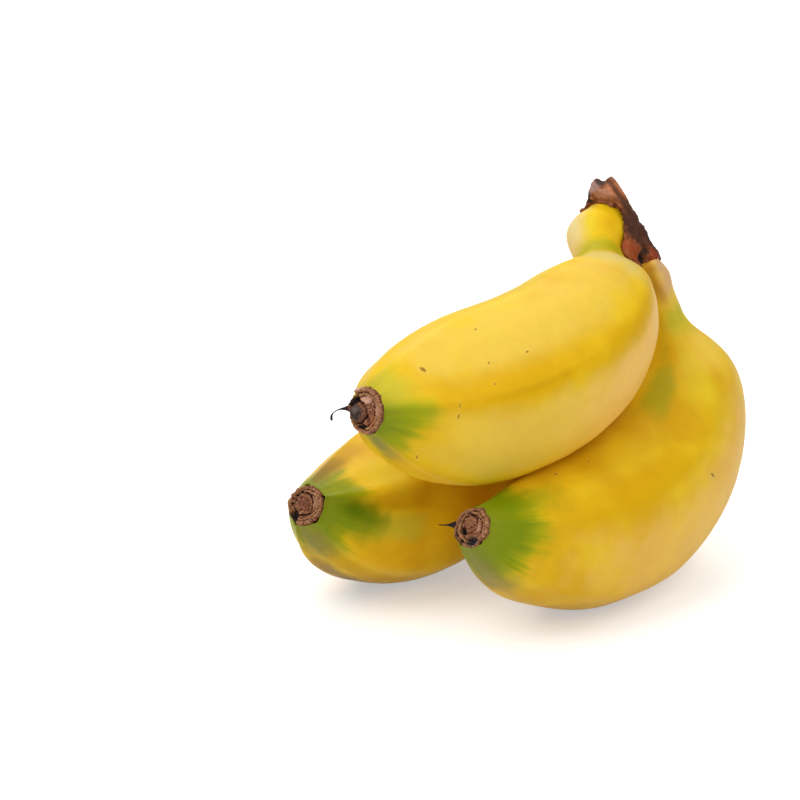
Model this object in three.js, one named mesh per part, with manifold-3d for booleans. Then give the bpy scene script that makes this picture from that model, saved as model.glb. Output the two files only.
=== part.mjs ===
// A hand of three lady-finger bananas that still hang together on one dry crown.
// Two fingers lie on the surface, pressed a little flat by their weight. The third lies across
// them, and the crown stands up at the back. Millimetres, +Z up, surface at Z = 0.
import * as THREE from 'three';
import { mergeVertices } from 'three/addons/utils/BufferGeometryUtils.js';
import Module from 'manifold-3d';

const wasm = await Module();
wasm.setup();

// ---------------------------------------------------------------- driving dimensions
const GAP = 0.3; // clearance between two neighbouring pieces

const RIDGES = 5; // a banana finger is five-sided
const SIDES = RIDGES * 6;
const RINGS = 34; // along a finger, closer together towards its ends
const RIDGE_SHARPNESS = 2;
const RIDGE_HEIGHT_BODY = 0.05; // as a share of the local radius
const RIDGE_HEIGHT_ENDS = 0.11;

// Shares of a finger's length, from the crown (0) to the blossom end (1).
const FLARE_REACH = 0.085; // the stalk is thicker up to here
const NECK_END = 0.09; // the finger swells from here on

const toVector = ([x, y, z]) => new THREE.Vector3(x, y, z);
const swept = (...points) => new THREE.CubicBezierCurve3(...points.map(toVector));
const through = (...points) => new THREE.CatmullRomCurve3(points.map(toVector));

// centreLine: from the crown to the blossom end. neck, belly and tip are radii, and flare is what
// the stalk gains at the crown. thickest: the share of the length at which the taper to the tip
// starts. shoulder: a smaller one swells sooner. steepness: how fast the shoulder swells.
// fullness: a larger one keeps the finger thick for longer before its tip.
// ridgeTurn: where a ridge starts, in degrees from the front.
// style: the dried thread on the blossom end, as steps away from its root.
const FINGERS = {
  front: {
    centreLine: through(
      [44.3, 33.8, 71.6], [42.5, 28.5, 67], [41.7, 12.7, 59.3], [31.2, -2.7, 52],
      [11.7, -15.4, 47.8], [-6, -31.7, 51.8],
    ),
    neck: 5.2, flare: 1.4, belly: 18.2, tip: 4.7,
    thickest: 0.62, shoulder: 0.3, steepness: 2.6, fullness: 2.5,
    ridgeTurn: 39,
    style: [[0, 0, 0], [-1.6, -0.4, -0.2], [-2.6, -0.6, -0.8], [-2.8, -0.7, -2]],
    colour: 0xe6b923,
  },
  right: {
    centreLine: swept([53.2, 27, 61.8], [71.5, 37, 13.2], [34.5, -14, 8.2], [14.6, -34, 27.8]),
    neck: 4, flare: 0.2, belly: 18.8, tip: 4.2,
    thickest: 0.48, shoulder: 0.25, steepness: 2.9, fullness: 2.2,
    ridgeTurn: 45,
    style: [[-0.1, 0, 1.6], [-1.1, -0.3, 1.5], [-2.3, -0.5, 1.7]],
    colour: 0xdba716,
  },
  lower: {
    centreLine: swept([46.5, 43, 63.5], [34, 41, 46], [8, 22, -3.0], [-18.7, -16.5, 25.5]),
    neck: 4, flare: 0.4, belly: 18.5, tip: 4.5,
    thickest: 0.58, shoulder: 0.28, steepness: 2, fullness: 2.5,
    ridgeTurn: 3,
    colour: 0xcda21c,
  },
};

// Blossom end: a corky ring with a sunken groove and a round nub in the middle.
const SCAR_DEPTH = 2.2;
const SCAR_SIDES = 24;
const NUB_RADIUS = 1.7;
const STYLE_RADIUS = 0.35;

// Crown: a pad with its own directions. Its outer, torn face is drawn as [lengthwise, back].
const PAD_PLACE = [49.6, 32.5, 71.8];
const PAD_LENGTHWISE = [0.54, -0.52, -0.67];
const PAD_OUTWARD = [0.83, 0.19, 0.52];
const PAD_OUTLINE = [
  [-10.5, 2], [-10, -4], [-6, -6], [2, -6], [8, -6], [11, -2],
  [10, 4], [5, 10], [1, 14], [-5, 14], [-8, 9],
];
const PAD_THICKNESS = 5.5;
const PAD_ROUNDING = 1.6;
const STUB_LENGTH = 4.5; // how deep each fruit stalk goes on inside the pad

// ---------------------------------------------------------------- solids
function toSolid(geometry) {
  const bare = geometry.clone();
  bare.deleteAttribute('normal');
  bare.deleteAttribute('uv');
  const merged = mergeVertices(bare, 1e-4);
  return new wasm.Manifold(new wasm.Mesh({
    numProp: 3,
    vertProperties: new Float32Array(merged.attributes.position.array),
    triVerts: new Uint32Array(merged.index.array),
  }));
}

function toGeometry(solid) {
  const mesh = solid.getMesh();
  const geometry = new THREE.BufferGeometry();
  geometry.setAttribute('position', new THREE.BufferAttribute(mesh.vertProperties, 3));
  geometry.setIndex(new THREE.BufferAttribute(mesh.triVerts, 1));
  geometry.computeVertexNormals();
  return geometry;
}

// A round profile of [radius, height] pairs, closed on its axis, set at a place and direction.
function turned(profile, place, direction, sides) {
  const geometry = new THREE.LatheGeometry(profile.map(([r, y]) => new THREE.Vector2(r, y)), sides);
  const upright = new THREE.Vector3(0, 1, 0);
  geometry.applyQuaternion(new THREE.Quaternion().setFromUnitVectors(upright, direction));
  geometry.translate(place.x, place.y, place.z);
  return toSolid(geometry);
}

// ---------------------------------------------------------------- fingers
// Cross-section directions carried along a curve without twist. The first one faces the front.
function carriedFrames(curve, steps) {
  const frames = [];
  let normal = new THREE.Vector3(0, -1, 0);
  for (let i = 0; i <= steps; i += 1) {
    const along = curve.getTangentAt(i / steps);
    normal = normal.clone().addScaledVector(along, -normal.dot(along)).normalize();
    frames.push({ along, normal, across: new THREE.Vector3().crossVectors(along, normal) });
  }
  return frames;
}

// The radius at a share of the length: slim all along, swelling past the neck to the belly and
// rounding off towards the tip.
function outlineRadius(finger, share) {
  const { neck, flare, belly, tip, thickest, shoulder, steepness, fullness } = finger;
  const slim = THREE.MathUtils.lerp(neck, tip, share) + flare * Math.exp(-((share / FLARE_REACH) ** 4));
  const swelling = (Math.max(share - NECK_END, 0) / (thickest - NECK_END)) ** steepness;
  const rise = swelling / (swelling + shoulder ** steepness);
  const beyond = Math.max(share - thickest, 0) / (1 - thickest);
  return slim + (belly - slim) * rise * (1 - beyond ** fullness);
}

// A finger's outline as [radius, distance] points. swell and reach make it a cutting tool that
// is larger all round and starts before the stalk's end.
function fingerOutline(finger, length, swell, reach) {
  const outline = [];
  for (let i = 0; i < RINGS; i += 1) {
    const share = 0.5 - 0.5 * Math.cos((Math.PI * i) / (RINGS - 1));
    outline.push(new THREE.Vector2(outlineRadius(finger, share) + swell, share * length));
  }
  outline[0].y -= reach;
  return [new THREE.Vector2(0, -reach), ...outline, new THREE.Vector2(0, length)];
}

function ridgeFactor(angle, station) {
  const towardsEnds = Math.abs(2 * station - 1) ** 3;
  const height = THREE.MathUtils.lerp(RIDGE_HEIGHT_BODY, RIDGE_HEIGHT_ENDS, towardsEnds);
  const bump = Math.exp(RIDGE_SHARPNESS * (Math.cos(RIDGES * angle) - 1));
  return 1 + height * (bump - 0.31);
}

// The outline is turned on a lathe, pressed into five ridges and bent along the centre line.
function fingerSolid(finger, swell = 0, reach = 0) {
  const curve = finger.centreLine;
  const length = curve.getLength();
  const steps = 400;
  const frames = carriedFrames(curve, steps);
  const turn = THREE.MathUtils.degToRad(finger.ridgeTurn);
  const outline = fingerOutline(finger, length, swell, reach);
  const geometry = new THREE.LatheGeometry(outline, SIDES);
  const position = geometry.attributes.position;
  for (let i = 0; i < position.count; i += 1) {
    const distance = position.getY(i);
    const station = THREE.MathUtils.clamp(distance / length, 0, 1);
    const angle = Math.atan2(position.getX(i), position.getZ(i));
    const radius = Math.hypot(position.getX(i), position.getZ(i)) * ridgeFactor(angle, station);
    const { along, normal, across } = frames[Math.round(station * steps)];
    const point = curve.getPointAt(station)
      .addScaledVector(along, distance - station * length)
      .addScaledVector(normal, radius * Math.cos(angle + turn))
      .addScaledVector(across, radius * Math.sin(angle + turn));
    position.setXYZ(i, point.x, point.y, point.z);
  }
  return toSolid(geometry);
}

// Everything below the surface is pressed away.
const HAND_SPAN = 300;
const below = new THREE.BoxGeometry(HAND_SPAN, HAND_SPAN, HAND_SPAN).translate(0, 0, -HAND_SPAN / 2);
const restingFlat = toSolid(below);

// ---------------------------------------------------------------- blossom ends
function blossomEnd({ centreLine, tip: rim }) {
  const groove = 0.5 * (rim + NUB_RADIUS);
  const profile = [
    [0, GAP], [rim - 0.5, GAP], [rim, 0.4 * SCAR_DEPTH], [rim - 0.4, SCAR_DEPTH],
    [rim - 1, SCAR_DEPTH], [groove, 0.6 * SCAR_DEPTH], [NUB_RADIUS, 0.7 * SCAR_DEPTH],
    [NUB_RADIUS - 0.4, 1.15 * SCAR_DEPTH], [0, 1.3 * SCAR_DEPTH],
  ];
  return turned(profile, centreLine.getPointAt(1), centreLine.getTangentAt(1), SCAR_SIDES);
}

// The thread is rooted beside the ring, on its left.
function styleRoot({ centreLine, tip }) {
  const along = centreLine.getTangentAt(1);
  const left = new THREE.Vector3(-1, 0, 0);
  left.addScaledVector(along, -left.dot(along)).normalize();
  return centreLine.getPointAt(1)
    .addScaledVector(along, 0.6 * SCAR_DEPTH)
    .addScaledVector(left, tip + GAP + STYLE_RADIUS);
}

function styleThread(finger) {
  const root = styleRoot(finger);
  const section = new THREE.Shape();
  section.absarc(0, 0, STYLE_RADIUS, 0, 2 * Math.PI, false);
  const route = new THREE.CatmullRomCurve3(finger.style.map((step) => toVector(step).add(root)));
  const options = { extrudePath: route, steps: 10, curveSegments: 6 };
  return toSolid(new THREE.ExtrudeGeometry(section, options));
}

// ---------------------------------------------------------------- crown
function crownPad() {
  const shape = new THREE.Shape(PAD_OUTLINE.map(([x, y]) => new THREE.Vector2(x, y)));
  const geometry = new THREE.ExtrudeGeometry(shape, {
    depth: PAD_THICKNESS - 2 * PAD_ROUNDING,
    bevelThickness: PAD_ROUNDING,
    bevelSize: PAD_ROUNDING,
    bevelOffset: -PAD_ROUNDING,
    bevelSegments: 2,
  });
  geometry.translate(0, 0, PAD_ROUNDING - PAD_THICKNESS);
  const lengthwise = toVector(PAD_LENGTHWISE).normalize();
  const back = new THREE.Vector3().crossVectors(toVector(PAD_OUTWARD), lengthwise).normalize();
  const outward = new THREE.Vector3().crossVectors(lengthwise, back);
  geometry.applyMatrix4(new THREE.Matrix4().makeBasis(lengthwise, back, outward));
  geometry.translate(...PAD_PLACE);
  return toSolid(geometry);
}

function stalkStub({ centreLine, neck, flare }) {
  const radius = neck + flare;
  const profile = [
    [0, -STUB_LENGTH], [0.5 * radius, -STUB_LENGTH], [0.85 * radius, -0.5 * STUB_LENGTH],
    [radius + 0.2, -GAP], [0, -GAP],
  ];
  return turned(profile, centreLine.getPointAt(0), centreLine.getTangentAt(0), SIDES);
}

function crownSolid(fingers) {
  const joined = fingers.reduce((solid, finger) => solid.add(stalkStub(finger)), crownPad());
  return fingers.reduce((solid, finger) => solid.subtract(fingerSolid(finger, GAP, GAP)), joined);
}

// ---------------------------------------------------------------- the hand
const hand = new THREE.Group();

function addPiece(name, solid, colour, roughness) {
  const material = new THREE.MeshStandardMaterial({ color: colour, roughness, metalness: 0 });
  const mesh = new THREE.Mesh(toGeometry(solid), material);
  mesh.name = name;
  hand.add(mesh);
}

addPiece('crown', crownSolid(Object.values(FINGERS)), 0x6f3f28, 0.85);
for (const [name, finger] of Object.entries(FINGERS)) {
  addPiece(`${name}_finger`, fingerSolid(finger).subtract(restingFlat), finger.colour, 0.45);
  addPiece(`${name}_blossom_end`, blossomEnd(finger), 0x6b4526, 0.9);
  if (finger.style) {
    addPiece(`${name}_style`, styleThread(finger), 0x33201a, 0.9);
  }
}

// The origin is on the surface, under the middle of the hand.
const middle = new THREE.Box3().setFromObject(hand).getCenter(new THREE.Vector3());
hand.position.set(-middle.x, -middle.y, 0);

export default hand;
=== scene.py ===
# %% [markdown]
# # A hand of lady-finger bananas
#
# Three short, plump bananas still hang together on one dry crown. Two lie on the surface and the
# third lies across them. Each finger has five soft ridges, a waxy yellow peel that is still green
# at its tip, and a corky blossom end with a nub where the flower dried off.
#
# Every piece here is built as a mesh from a few driving sizes, and every finish is made from
# procedural nodes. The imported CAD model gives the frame: its box says where the hand stands.

import math

import bpy
import numpy as np
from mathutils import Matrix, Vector, noise


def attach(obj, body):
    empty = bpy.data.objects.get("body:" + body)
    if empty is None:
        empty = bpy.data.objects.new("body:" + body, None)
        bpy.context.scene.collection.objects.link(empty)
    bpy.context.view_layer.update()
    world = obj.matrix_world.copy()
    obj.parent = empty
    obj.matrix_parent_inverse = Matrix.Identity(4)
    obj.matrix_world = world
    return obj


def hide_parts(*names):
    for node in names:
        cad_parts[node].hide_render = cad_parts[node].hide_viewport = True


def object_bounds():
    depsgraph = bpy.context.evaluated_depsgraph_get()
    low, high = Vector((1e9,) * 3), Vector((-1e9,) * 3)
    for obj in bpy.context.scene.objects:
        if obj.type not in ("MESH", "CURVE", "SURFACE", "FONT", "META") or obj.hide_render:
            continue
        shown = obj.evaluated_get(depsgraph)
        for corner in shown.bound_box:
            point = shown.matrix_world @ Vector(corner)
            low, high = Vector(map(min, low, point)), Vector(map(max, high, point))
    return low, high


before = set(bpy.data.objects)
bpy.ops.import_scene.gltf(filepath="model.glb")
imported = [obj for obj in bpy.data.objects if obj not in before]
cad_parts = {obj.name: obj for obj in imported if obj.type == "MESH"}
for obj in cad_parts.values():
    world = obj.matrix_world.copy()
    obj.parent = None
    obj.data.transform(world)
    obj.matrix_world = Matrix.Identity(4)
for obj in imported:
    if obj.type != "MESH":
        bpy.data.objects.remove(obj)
cad_low, cad_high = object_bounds()
MM = 0.001  # metres in a millimetre
print("CAD box in mm:", [round((b - a) / MM, 1) for a, b in zip(cad_low, cad_high)])

# %% [markdown]
# ## Camera
# The picture is taken from a little above the surface with a long lens, so the hand shows almost
# no perspective. A camera could be placed by eye. Here it gets a point to look at, an elevation
# and a distance, so that each can be changed alone. The hand stands right of the middle.

# %% Camera
CAMERA_ELEVATION = math.radians(20)
CAMERA_DISTANCE = 600 * MM
FIELD_WIDTH = 164.8 * MM  # what the camera takes in at the aim point
SENSOR_WIDTH = 36.0
AIM_FROM_MIDDLE = Vector((-25.55, -4.64, 2.45)) * MM

aim = (cad_low + cad_high) / 2 + AIM_FROM_MIDDLE
towards_camera = Vector((0, -math.cos(CAMERA_ELEVATION), math.sin(CAMERA_ELEVATION)))
camera_data = bpy.data.cameras.new("camera")
camera_data.sensor_width = SENSOR_WIDTH
camera_data.lens = SENSOR_WIDTH * CAMERA_DISTANCE / FIELD_WIDTH
camera = bpy.data.objects.new("camera", camera_data)
camera.location = aim + towards_camera * CAMERA_DISTANCE
camera.rotation_euler = (-towards_camera).to_track_quat("-Z", "Y").to_euler()
bpy.context.scene.collection.objects.link(camera)
bpy.context.scene.camera = camera
bpy.context.scene.view_settings.view_transform = "Standard"
print("lens in mm:", round(camera_data.lens, 1))

# %% [markdown]
# ## Stage and light
# A studio light for fruit is soft. It could be one large lamp, or an even world alone. Here five
# square lamps stand at one distance from the hand: the strongest is up on the left, one behind
# lights the far edges, and weaker ones fill the rest. A pale floor and a dim, even world throw
# light back onto the undersides. The background is white without more light on the hand: the
# floor is whiter only to rays from the camera and off gloss, and the world only to rays from the
# camera. The floor still takes the hand's shadow.

# %% Helpers for nodes
def place(tree, kind, inputs=None, **settings):
    """Adds one node. Each input is a value, or the output of another node."""
    made = tree.nodes.new(kind)
    for label, value in settings.items():
        setattr(made, label, value)
    for key, value in (inputs or {}).items():
        if isinstance(value, bpy.types.NodeSocket):
            tree.links.new(value, made.inputs[key])
        else:
            made.inputs[key].default_value = value
    return made


def calc(tree, operation, *values):
    """One Math node, which gives its result."""
    return place(tree, "ShaderNodeMath", dict(enumerate(values)), operation=operation).outputs[0]


def new_material(name):
    material = bpy.data.materials.new(name)
    material.use_nodes = True
    material.node_tree.nodes.clear()
    return material, material.node_tree


def white_background(tree, shader, strength):
    """Adds plain white to a shader, for rays from the camera and off gloss only."""
    path = place(tree, "ShaderNodeLightPath")
    seen = calc(tree, "MAXIMUM", path.outputs["Is Camera Ray"], path.outputs["Is Glossy Ray"])
    glow = place(tree, "ShaderNodeEmission",
                 {"Color": (1, 1, 1, 1), "Strength": calc(tree, "MULTIPLY", seen, strength)})
    return place(tree, "ShaderNodeAddShader", {0: shader, 1: glow.outputs[0]}).outputs[0]


# %% Floor
FLOOR_HALF = 3.0  # half its width in m
FLOOR_DROP = 0.15 * MM  # how far it lies below the hand
FLOOR_GREY = 0.82
FLOOR_WHITE = 0.42  # added for the camera and for gloss

floor_material, tree = new_material("pale_floor")
matte = place(tree, "ShaderNodeBsdfDiffuse", {"Color": (FLOOR_GREY, FLOOR_GREY, FLOOR_GREY, 1)})
surface = white_background(tree, matte.outputs[0], FLOOR_WHITE)
place(tree, "ShaderNodeOutputMaterial", {"Surface": surface})

corners = [(-1, -1), (1, -1), (1, 1), (-1, 1)]
floor_mesh = bpy.data.meshes.new("floor")
floor_mesh.from_pydata(
    [(x * FLOOR_HALF, y * FLOOR_HALF, -FLOOR_DROP) for x, y in corners], [], [(0, 1, 2, 3)]
)
floor_mesh.materials.append(floor_material)
floor = bpy.data.objects.new("floor", floor_mesh)
bpy.context.scene.collection.objects.link(floor)
print("floor:", 2 * FLOOR_HALF, "m wide")

# %% World
WORLD_GREY = 0.46

world = bpy.data.worlds.new("studio")
bpy.context.scene.world = world
world.use_nodes = True
tree = world.node_tree
tree.nodes.clear()
path = place(tree, "ShaderNodeLightPath")
level = place(
    tree, "ShaderNodeMix", {0: path.outputs["Is Camera Ray"], 2: WORLD_GREY, 3: 1.0}
).outputs[0]
sky = place(tree, "ShaderNodeBackground", {"Color": (1, 1, 1, 1), "Strength": level})
place(tree, "ShaderNodeOutputWorld", {"Surface": sky.outputs[0]})
print("world:", WORLD_GREY, "of white")

# %% Lamps
LAMP_DISTANCE = 0.7  # m from the middle of the hand
LAMP_SIZE = 0.45  # m along a side
LAMPS = {
    # name: (degrees to the right of the camera, degrees up, power in W)
    "key_lamp": (-60, 50, 2.2),
    "fill_lamp": (40, 50, 1.1),
    "back_lamp": (180, 45, 1.7),
    "front_lamp": (0, 25, 0.3),
    "top_lamp": (0, 89, 0.25),
}

hand_middle = (cad_low + cad_high) / 2
for name, (turn, rise, power) in LAMPS.items():
    turn, rise = math.radians(turn), math.radians(rise)
    towards_lamp = Vector((math.sin(turn) * math.cos(rise), -math.cos(turn) * math.cos(rise),
                           math.sin(rise)))
    lamp_data = bpy.data.lights.new(name, "AREA")
    lamp_data.shape = "SQUARE"
    lamp_data.size = LAMP_SIZE
    lamp_data.energy = power
    lamp = bpy.data.objects.new(name, lamp_data)
    lamp.location = hand_middle + towards_lamp * LAMP_DISTANCE
    lamp.rotation_euler = (-towards_lamp).to_track_quat("-Z", "Y").to_euler()
    lamp.visible_camera = False
    bpy.context.scene.collection.objects.link(lamp)
print("lamps:", list(LAMPS))

# %% [markdown]
# ## The shape of a finger
# A banana is a tube along a bent centre line, thick in the middle and thin at both ends, with
# five ridges where its flat sides meet. It could be sculpted, or lofted from drawn sections. Here
# a smooth line gives the bend, a formula gives the outline from a few sizes, and another presses
# the ridges in. That way any place on a finger has an address, its distance from the crown and its
# angle round the line, and marks, scars and threads can be put exactly where they belong.

# %% The driving sizes of the three fingers, in mm
MIDDLE_OF_DRAWING = np.array([25.565, 4.619, 0.0])  # the drawing's point that is the frame's origin
FLARE_REACH, NECK_END = 0.085, 0.09  # shares of the length
RIDGES = 5
# points: where the centre line runs. neck, belly and tip: the radius at the crown, at its largest
# and at the tip. flare: what the radius gains at the crown. thickest: the share of the length
# with the largest radius. shoulder and steepness: how late and how suddenly a finger swells.
# fullness: how bluntly it rounds off. ridge_turn: degrees to the first ridge.
FINGERS = {
    "front": {
        "route": "through",
        "points": [(44.3, 33.8, 71.6), (42.5, 28.5, 67), (41.7, 12.7, 59.3),
                   (31.2, -2.7, 52), (11.7, -15.4, 47.8), (-6, -31.7, 51.8)],
        "neck": 5.2, "flare": 1.4, "belly": 18.2, "tip": 4.7,
        "thickest": 0.62, "shoulder": 0.3, "steepness": 2.6, "fullness": 2.5,
        "ridge_turn": 39,
    },
    "right": {
        "route": "swept",
        "points": [(53.2, 27, 61.8), (71.5, 37, 13.2), (34.5, -14, 8.2), (14.6, -34, 27.8)],
        "neck": 4.0, "flare": 0.2, "belly": 18.8, "tip": 4.2,
        "thickest": 0.48, "shoulder": 0.25, "steepness": 2.9, "fullness": 2.2,
        "ridge_turn": 45,
    },
    "lower": {
        "route": "swept",
        "points": [(46.5, 43, 63.5), (34, 41, 46), (8, 22, -3.0), (-18.7, -16.5, 25.5)],
        "neck": 4.0, "flare": 0.4, "belly": 18.5, "tip": 4.5,
        "thickest": 0.58, "shoulder": 0.28, "steepness": 2.0, "fullness": 2.5,
        "ridge_turn": 3,
    },
}


# %% Smooth lines
def swept_line(points, count):
    """A cubic Bezier curve through its first and last point."""
    a, b, c, d = np.array(points, float)
    t = np.linspace(0, 1, count)[:, None]
    return (1 - t) ** 3 * a + 3 * (1 - t) ** 2 * t * b + 3 * (1 - t) * t**2 * c + t**3 * d


def through_line(points, count):
    """A smooth curve through every point, which doesn't loop where points are close together."""
    p = np.array(points, float)
    p = np.vstack([2 * p[0] - p[1], p, 2 * p[-1] - p[-2]])
    pieces = []
    spans = len(p) - 3
    for i in range(spans):
        p0, p1, p2, p3 = p[i : i + 4]
        d0, d1, d2 = (np.linalg.norm(b - a) ** 0.5 for a, b in ((p0, p1), (p1, p2), (p2, p3)))
        m1 = ((p1 - p0) / d0 - (p2 - p0) / (d0 + d1) + (p2 - p1) / d1) * d1
        m2 = ((p2 - p1) / d1 - (p3 - p1) / (d1 + d2) + (p3 - p2) / d2) * d1
        t = np.linspace(0, 1, count // spans)[:, None]
        curve = (p1 + m1 * t + (3 * (p2 - p1) - 2 * m1 - m2) * t**2
                 + (2 * (p1 - p2) + m1 + m2) * t**3)
        pieces.append(curve if i == spans - 1 else curve[:-1])
    return np.vstack(pieces)


def outline_radius(finger, share):
    """The radius at a share of the length: slim all along, swelling past the neck to the belly
    and rounding off towards the tip."""
    slim = finger["neck"] + (finger["tip"] - finger["neck"]) * share
    slim = slim + finger["flare"] * np.exp(-((share / FLARE_REACH) ** 4))
    swelling = np.maximum(share - NECK_END, 0) / (finger["thickest"] - NECK_END)
    swelling = swelling ** finger["steepness"]
    rise = swelling / (swelling + finger["shoulder"] ** finger["steepness"])
    beyond = np.maximum(share - finger["thickest"], 0) / (1 - finger["thickest"])
    return slim + (finger["belly"] - slim) * rise * (1 - beyond ** finger["fullness"])


# %% The skeleton of each finger
LINE_POINTS = 900


def add_skeleton(finger):
    """Stores evenly spaced places along the centre line, with directions that don't twist."""
    make_line = swept_line if finger["route"] == "swept" else through_line
    line = make_line(finger["points"], LINE_POINTS) - MIDDLE_OF_DRAWING
    distance = np.concatenate([[0], np.cumsum(np.linalg.norm(np.diff(line, axis=0), axis=1))])
    length = distance[-1]
    even = np.linspace(0, length, LINE_POINTS)
    line = np.stack([np.interp(even, distance, line[:, k]) for k in range(3)], 1)
    along = np.gradient(line, axis=0)
    along /= np.linalg.norm(along, axis=1)[:, None]
    facing = np.array([0.0, -1.0, 0.0])
    front = np.zeros_like(line)
    for i, direction in enumerate(along):
        facing = facing - direction * (facing @ direction)
        facing /= np.linalg.norm(facing)
        front[i] = facing
    finger.update(length=length, line=line, along=along, front=front,
                  side=np.cross(along, front))


for name, finger in FINGERS.items():
    add_skeleton(finger)
    print(name, "finger is", round(finger["length"], 1), "mm along its middle")

# %% Ridges, swellings and dents
RIDGE_HEIGHT_BODY, RIDGE_HEIGHT_TIP = 0.05, 0.115  # as a share of the radius
RIDGE_SHARPNESS_BODY, RIDGE_SHARPNESS_TIP = 1.8, 3.2
RIDGE_HEIGHT_STALK = 0.03  # as a share of the radius
# Swellings and dents: mm from the crown, degrees round, reach in mm and degrees, height in mm.
SWELLS = {
    "front": [(-0.8, 0, 2.6, 1000, -2.0), (5.9, 75, 3.6, 50, 1.15), (16, 293, 4, 30, -0.8)],
    "right": [(-1.8, 225, 2.8, 60, -1.6), (5.5, 218, 4, 60, -0.7), (18.5, 218, 6, 50, 0.9)],
    "lower": [],
}
for name, finger in FINGERS.items():
    finger["swells"] = SWELLS[name]
    print(name, "finger has", len(SWELLS[name]), "swellings and dents")


# %% Any place on a finger
def axes_at(finger, distance):
    """The centre line's place and its three directions at distances from the crown."""
    places = np.clip(distance / finger["length"], 0, 1) * (LINE_POINTS - 1)
    rows = [np.stack([np.interp(places, np.arange(LINE_POINTS), finger[key][:, k])
                      for k in range(3)], -1) for key in ("line", "along", "front", "side")]
    beyond = distance - np.clip(distance, 0, finger["length"])
    rows[0] = rows[0] + rows[1] * beyond[..., None]
    return rows


def ridge_factor(angle, share):
    """How much the five ridges raise or lower the radius."""
    to_tip = np.clip(2 * share - 1, 0, 1) ** 3
    to_stalk = np.clip(1 - 2 * share, 0, 1) ** 2
    height = (RIDGE_HEIGHT_BODY + (RIDGE_HEIGHT_TIP - RIDGE_HEIGHT_BODY) * to_tip
              + (RIDGE_HEIGHT_STALK - RIDGE_HEIGHT_BODY) * to_stalk)
    sharp = RIDGE_SHARPNESS_BODY + (RIDGE_SHARPNESS_TIP - RIDGE_SHARPNESS_BODY) * to_tip
    bump = np.exp(sharp * (np.cos(RIDGES * angle) - 1))
    return 1 + height * (bump - np.i0(sharp) * np.exp(-sharp))


def finger_places(finger, distance, angle, lift=0.0, shrink=1.0):
    """Places on the skin, in mm: distance from the crown, angle from the first ridge."""
    share = np.clip(distance / finger["length"], 0, 1)
    radius = outline_radius(finger, share) * ridge_factor(angle, share)
    for middle, degrees, reach, turn_reach, height in finger["swells"]:
        off = (np.degrees(angle) - degrees + 180) % 360 - 180
        radius = radius + height * np.exp(-((distance - middle) / reach) ** 2
                                          - (off / turn_reach) ** 2)
    radius = radius * shrink + lift
    line, _, front, side = axes_at(finger, distance)
    turned = angle + math.radians(finger["ridge_turn"])
    return line + radius[..., None] * (
        np.cos(turned)[..., None] * front + np.sin(turned)[..., None] * side
    )


# %% [markdown]
# ## Mesh helpers
# Fingers, blossom ends and threads are grids: rings of points that follow each other, closed at
# both ends. They could be lofted or revolved, but a grid keeps every point's address. One helper
# makes the faces between the rings and writes the address down as a UV map, so the materials can
# find ridges, tips and rims. Another gives smooth, repeatable noise.

# %% A piece from rings
def ringed_piece(name, rings, material, first, last, ring_marks=None):
    """A mesh from rings of points in mm. The points first and last close its two ends.
    The UV map holds the turn (0 to 1) and the ring's mark, such as a share of the length."""
    rings = np.asarray(rings, float)
    count, sides = rings.shape[:2]
    marks = np.linspace(0, 1, count) if ring_marks is None else np.asarray(ring_marks, float)
    points = rings.reshape(-1, 3)
    i, j = np.meshgrid(np.arange(count - 1), np.arange(sides), indexing="ij")
    k = (j + 1) % sides
    quads = np.stack([i * sides + j, i * sides + k, (i + 1) * sides + k, (i + 1) * sides + j], -1)
    turn = np.stack([j, j + 1, j + 1, j], -1) / sides
    mark = np.stack([marks[i], marks[i], marks[i + 1], marks[i + 1]], -1)
    faces = quads.reshape(-1, 4).tolist()
    uv = np.stack([turn, mark], -1).reshape(-1, 2).tolist()
    for end, ring, flip in ((first, 0, True), (last, count - 1, False)):
        points = np.vstack([points, end])
        centre = len(points) - 1
        for a in range(sides):
            b = (a + 1) % sides
            corner = (a, b) if not flip else (b, a)
            faces.append([ring * sides + corner[0], ring * sides + corner[1], centre])
            turns = (a / sides, (a + 1) / sides) if not flip else ((a + 1) / sides, a / sides)
            uv += [(turns[0], marks[ring]), (turns[1], marks[ring]),
                   ((a + 0.5) / sides, marks[ring])]
    mesh = bpy.data.meshes.new(name)
    mesh.from_pydata((points * MM).tolist(), [], faces)
    layer = mesh.uv_layers.new(name="address")
    layer.data.foreach_set("uv", np.array(uv, np.float32).ravel())
    mesh.materials.append(material)
    mesh.shade_smooth()
    mesh.update()
    piece = bpy.data.objects.new(name, mesh)
    bpy.context.scene.collection.objects.link(piece)
    print(name, "has", len(mesh.polygons), "faces")
    return piece


# %% Noise
FADING, FINENESS = 0.6, 2.1  # how each octave weakens and how much finer it is


def noise_at(points, scale, octaves=1, shift=0.0):
    """Smooth noise between about -1 and 1. scale is the size of its lumps, in the points' units
    and for each axis if there are three."""
    flat = np.asarray(points, float).reshape(-1, 3) / np.asarray(scale, float) + shift
    if octaves == 1:
        values = [noise.noise(p) for p in flat.tolist()]
    else:
        values = [noise.fractal(p, FADING, FINENESS, octaves) for p in flat.tolist()]
    return np.array(values).reshape(np.shape(points)[:-1])


# %% [markdown]
# ## Helpers for finishes
# Colours are written as on a paint card and turned into the linear numbers that shaders use.
# Node trees could be joined up by hand in the editor. Here three small verbs, fade, mix and
# cloud, add the nodes that come again and again. An effect that several finishes share goes in a
# node group with its own named inputs and outputs.

# %% Colours, fades and clouds
def paint(code):
    """A colour such as e6b923, as linear red, green, blue and alpha."""
    parts = [int(code[i : i + 2], 16) / 255 for i in (0, 2, 4)]
    return tuple(p / 12.92 if p <= 0.04045 else ((p + 0.055) / 1.055) ** 2.4 for p in parts) + (1,)


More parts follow.
